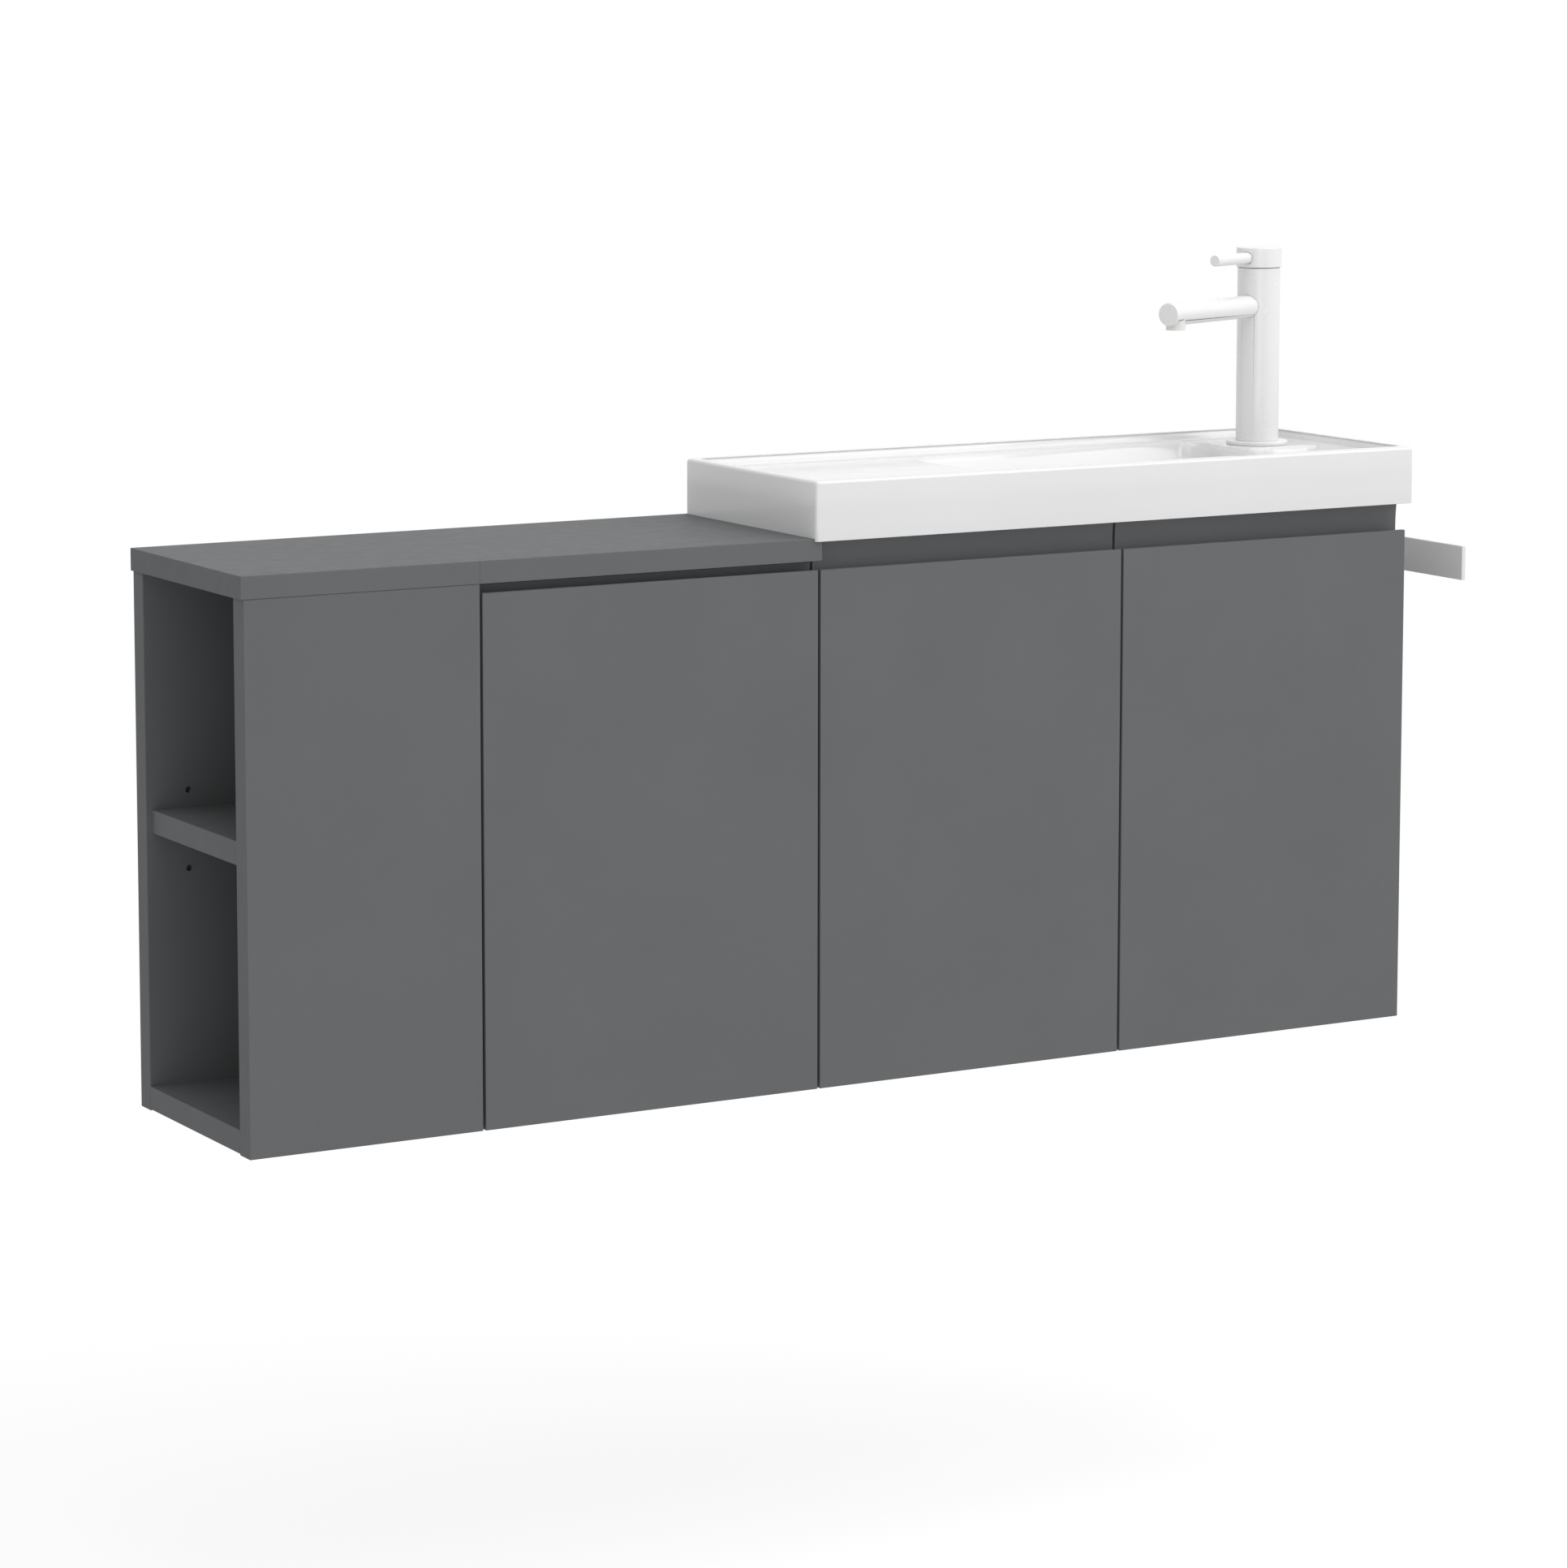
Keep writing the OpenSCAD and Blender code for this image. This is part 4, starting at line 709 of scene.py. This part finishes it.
block(hollow, (basin_low[0] + HOLLOW_LEFT, BOWL_FRONT, APRON_Z - CLEAR),
      (basin_low[0] + HOLLOW_RIGHT, BOWL_BACK, DECK_Z - TRAY_THICK))
upright(hollow, TAP_X, TAP_Y, APRON_Z - CLEAR, DECK_Z - PAD_THICK, PAD_HOLLOW_R)
upright(flange_sinking, drain_x, drain_y, BOWL_Z - FLANGE_DEEP, BOWL_Z + FLANGE_CLEAR, FLANGE_R)
upright(waste_hole, drain_x, drain_y, APRON_Z - CLEAR, BOWL_Z, WASTE_R)
upright(tap_hole, TAP_X, TAP_Y, DECK_Z - 2 * CLEAR, DECK_Z + CLEAR, TAP_HOLE_R)
carve(basin, [seat, hollow, flange_sinking, waste_hole, tap_hole])
crease(basin.data)
dress(basin, glaze)
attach(basin, "carcass")
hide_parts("basin")

# The waste: a chromed brass body through the bowl with a white glazed plug that lifts,
# sealed by a rubber ring and drawn up by its nut from below.
eased("waste_plug", "waste_plug", glaze, width=0.0012, shortest=0.0)
paint(["waste_body", "waste_nut"], plated("polished_chrome", (0.78, 0.79, 0.80), 0.05, 0.12))
paint(["waste_gasket"], moulded("black_rubber", (0.03, 0.03, 0.03), 0.6, 0.75))

# The bottle trap: white moulded pipe, nuts and cup, pushed together with seals and
# screwed by hand under the bowl. The tap's cartridge and aerator are of the same plastic.
white_plastic = moulded("white_trap", (0.72, 0.72, 0.70), 0.3, 0.42)
paint(["trap_inlet_tube", "trap_nuts", "trap_body", "trap_cup", "trap_outlet_pipe",
       "tap_cartridge", "tap_aerator"], white_plastic)

# The tap: turned brass tube and rod, coated white like the rail but smoother. A
# threaded shank and a nut hold it on the pad, and the cap with its rod lever turns.
# The tap's coat is the rail's white painted lighter, as painted light on the tap.
tap_coat_painted_light = white_coat("tap_coat_painted_light", 0.77, 0.2, 0.28)
for part, body, width in (("tap_base_ring", "carcass", 0.0008), ("tap_body", "carcass", 0.0004),
                          ("tap_spout", "carcass", 0.0008), ("tap_cap", "tap_handle", 0.0007),
                          ("tap_lever", "tap_handle", 0.0008)):
    eased(part, body, tap_coat_painted_light, width, shortest=0.0)
paint(["tap_shank", "tap_spindle"], plated("raw_brass", (0.55, 0.42, 0.20), 0.25, 0.4))

# The floor: a plain pale studio floor under the hung unit, which catches its soft
# shadow and fades to white. It isn't part of the object.
FLOOR_Z = -0.80
FLOOR_REACH = 9
FADE_START, FADE_END = 1.3, 2.6


def pale_floor():
    """Matt to the light, and to the camera a glowing pale ground that fades to white."""
    material = bpy.data.materials.new("pale_floor")
    material.use_nodes = True
    tree = material.node_tree
    tree.nodes.clear()
    out = tree.nodes.new("ShaderNodeOutputMaterial")
    matt = tree.nodes.new("ShaderNodeBsdfDiffuse")
    matt.inputs["Color"].default_value = (0.8, 0.8, 0.8, 1.0)
    seen = tree.nodes.new("ShaderNodeBsdfDiffuse")
    seen.inputs["Color"].default_value = (0.4, 0.4, 0.4, 1.0)
    glow = tree.nodes.new("ShaderNodeEmission")
    glow.inputs["Strength"].default_value = 0.66
    both = tree.nodes.new("ShaderNodeAddShader")
    tree.links.new(seen.outputs["BSDF"], both.inputs[0])
    tree.links.new(glow.outputs["Emission"], both.inputs[1])
    # The fade ends in full white, so that no edge of the floor shows
    far = tree.nodes.new("ShaderNodeEmission")
    place = tree.nodes.new("ShaderNodeTexCoord")
    away = tree.nodes.new("ShaderNodeVectorMath")
    away.operation = "LENGTH"
    fade = tree.nodes.new("ShaderNodeMapRange")
    fade.interpolation_type = "SMOOTHSTEP"
    fade.inputs["From Min"].default_value = FADE_START
    fade.inputs["From Max"].default_value = FADE_END
    tree.links.new(place.outputs["Object"], away.inputs[0])
    tree.links.new(away.outputs["Value"], fade.inputs["Value"])
    ground = tree.nodes.new("ShaderNodeMixShader")
    tree.links.new(fade.outputs["Result"], ground.inputs["Fac"])
    tree.links.new(both.outputs["Shader"], ground.inputs[1])
    tree.links.new(far.outputs["Emission"], ground.inputs[2])
    path = tree.nodes.new("ShaderNodeLightPath")
    mix = tree.nodes.new("ShaderNodeMixShader")
    tree.links.new(path.outputs["Is Camera Ray"], mix.inputs["Fac"])
    tree.links.new(matt.outputs["BSDF"], mix.inputs[1])
    tree.links.new(ground.outputs["Shader"], mix.inputs[2])
    tree.links.new(mix.outputs["Shader"], out.inputs["Surface"])
    return material


floor_mesh = bpy.data.meshes.new("studio_floor")
floor_mesh.from_pydata([(x * FLOOR_REACH, y * FLOOR_REACH, FLOOR_Z)
                        for x, y in ((-1, -1), (1, -1), (1, 1), (-1, 1))], [], [(0, 1, 2, 3)])
floor = put("studio_floor", floor_mesh)
floor_mesh.materials.append(pale_floor())


# The light: a white room, a large soft panel above, one at the right front and a weak
# low one at the left front.
def white_room():
    """A white world that gives a weaker light than the white that is seen and mirrored."""
    world = bpy.data.worlds.new("white_room")
    bpy.context.scene.world = world
    world.use_nodes = True
    tree = world.node_tree
    tree.nodes.clear()
    out = tree.nodes.new("ShaderNodeOutputWorld")
    light = tree.nodes.new("ShaderNodeBackground")
    seen = tree.nodes.new("ShaderNodeBackground")
    for ground, strength in ((light, 0.64), (seen, 1.0)):
        ground.inputs["Color"].default_value = (1.0, 1.0, 1.0, 1.0)
        ground.inputs["Strength"].default_value = strength
    path = tree.nodes.new("ShaderNodeLightPath").outputs
    direct = reckon(tree, "MAXIMUM", path["Is Camera Ray"], path["Is Glossy Ray"])
    direct = reckon(tree, "MAXIMUM", direct, path["Is Transmission Ray"])
    mix = tree.nodes.new("ShaderNodeMixShader")
    tree.links.new(direct, mix.inputs["Fac"])
    tree.links.new(light.outputs["Background"], mix.inputs[1])
    tree.links.new(seen.outputs["Background"], mix.inputs[2])
    tree.links.new(mix.outputs["Shader"], out.inputs["Surface"])


def panel(name, place, target, width, height, power):
    """A soft panel at a place, turned to a target, its sizes in metres and power in watts."""
    data = bpy.data.lights.new(name, "AREA")
    data.shape = "RECTANGLE"
    data.size = width
    data.size_y = height
    data.energy = power
    lamp = put(name, data)
    lamp.location = place
    lamp.rotation_euler = (Vector(target) - Vector(place)).to_track_quat("-Z", "Y").to_euler()


white_room()
panel("top_panel", (0.0, -0.9, 2.6), (-0.2, -0.1, 0.0), width=3.0, height=2.4, power=37.0)
panel("right_front_panel", (2.6, -2.3, 1.9), (0.0, -0.2, -0.1), width=2.8, height=2.6, power=50.0)
panel("low_front_panel", (-1.8, -3.4, -0.1), (-0.2, -0.2, -0.1), width=2.0, height=1.2, power=14.0)

# The camera: a long lens at the left front, a little above the unit, as in the
# photograph. Its place, its aim and its small shift set the unit as it stands there.
TILT_DOWN, TURN_RIGHT = 7.224, 29.513
camera_data = bpy.data.cameras.new("camera")
camera_data.lens = 117.376
camera_data.sensor_width = 36.0
camera_data.shift_x = 0.02
camera_data.shift_y = -0.12
camera_data.clip_end = 60.0
camera = put("camera", camera_data)
camera.location = (-2.3764, -3.7823, 0.5478)
camera.rotation_euler = (math.radians(90 - TILT_DOWN), 0.0, math.radians(-TURN_RIGHT))
bpy.context.scene.camera = camera
bpy.context.scene.view_settings.view_transform = "Standard"
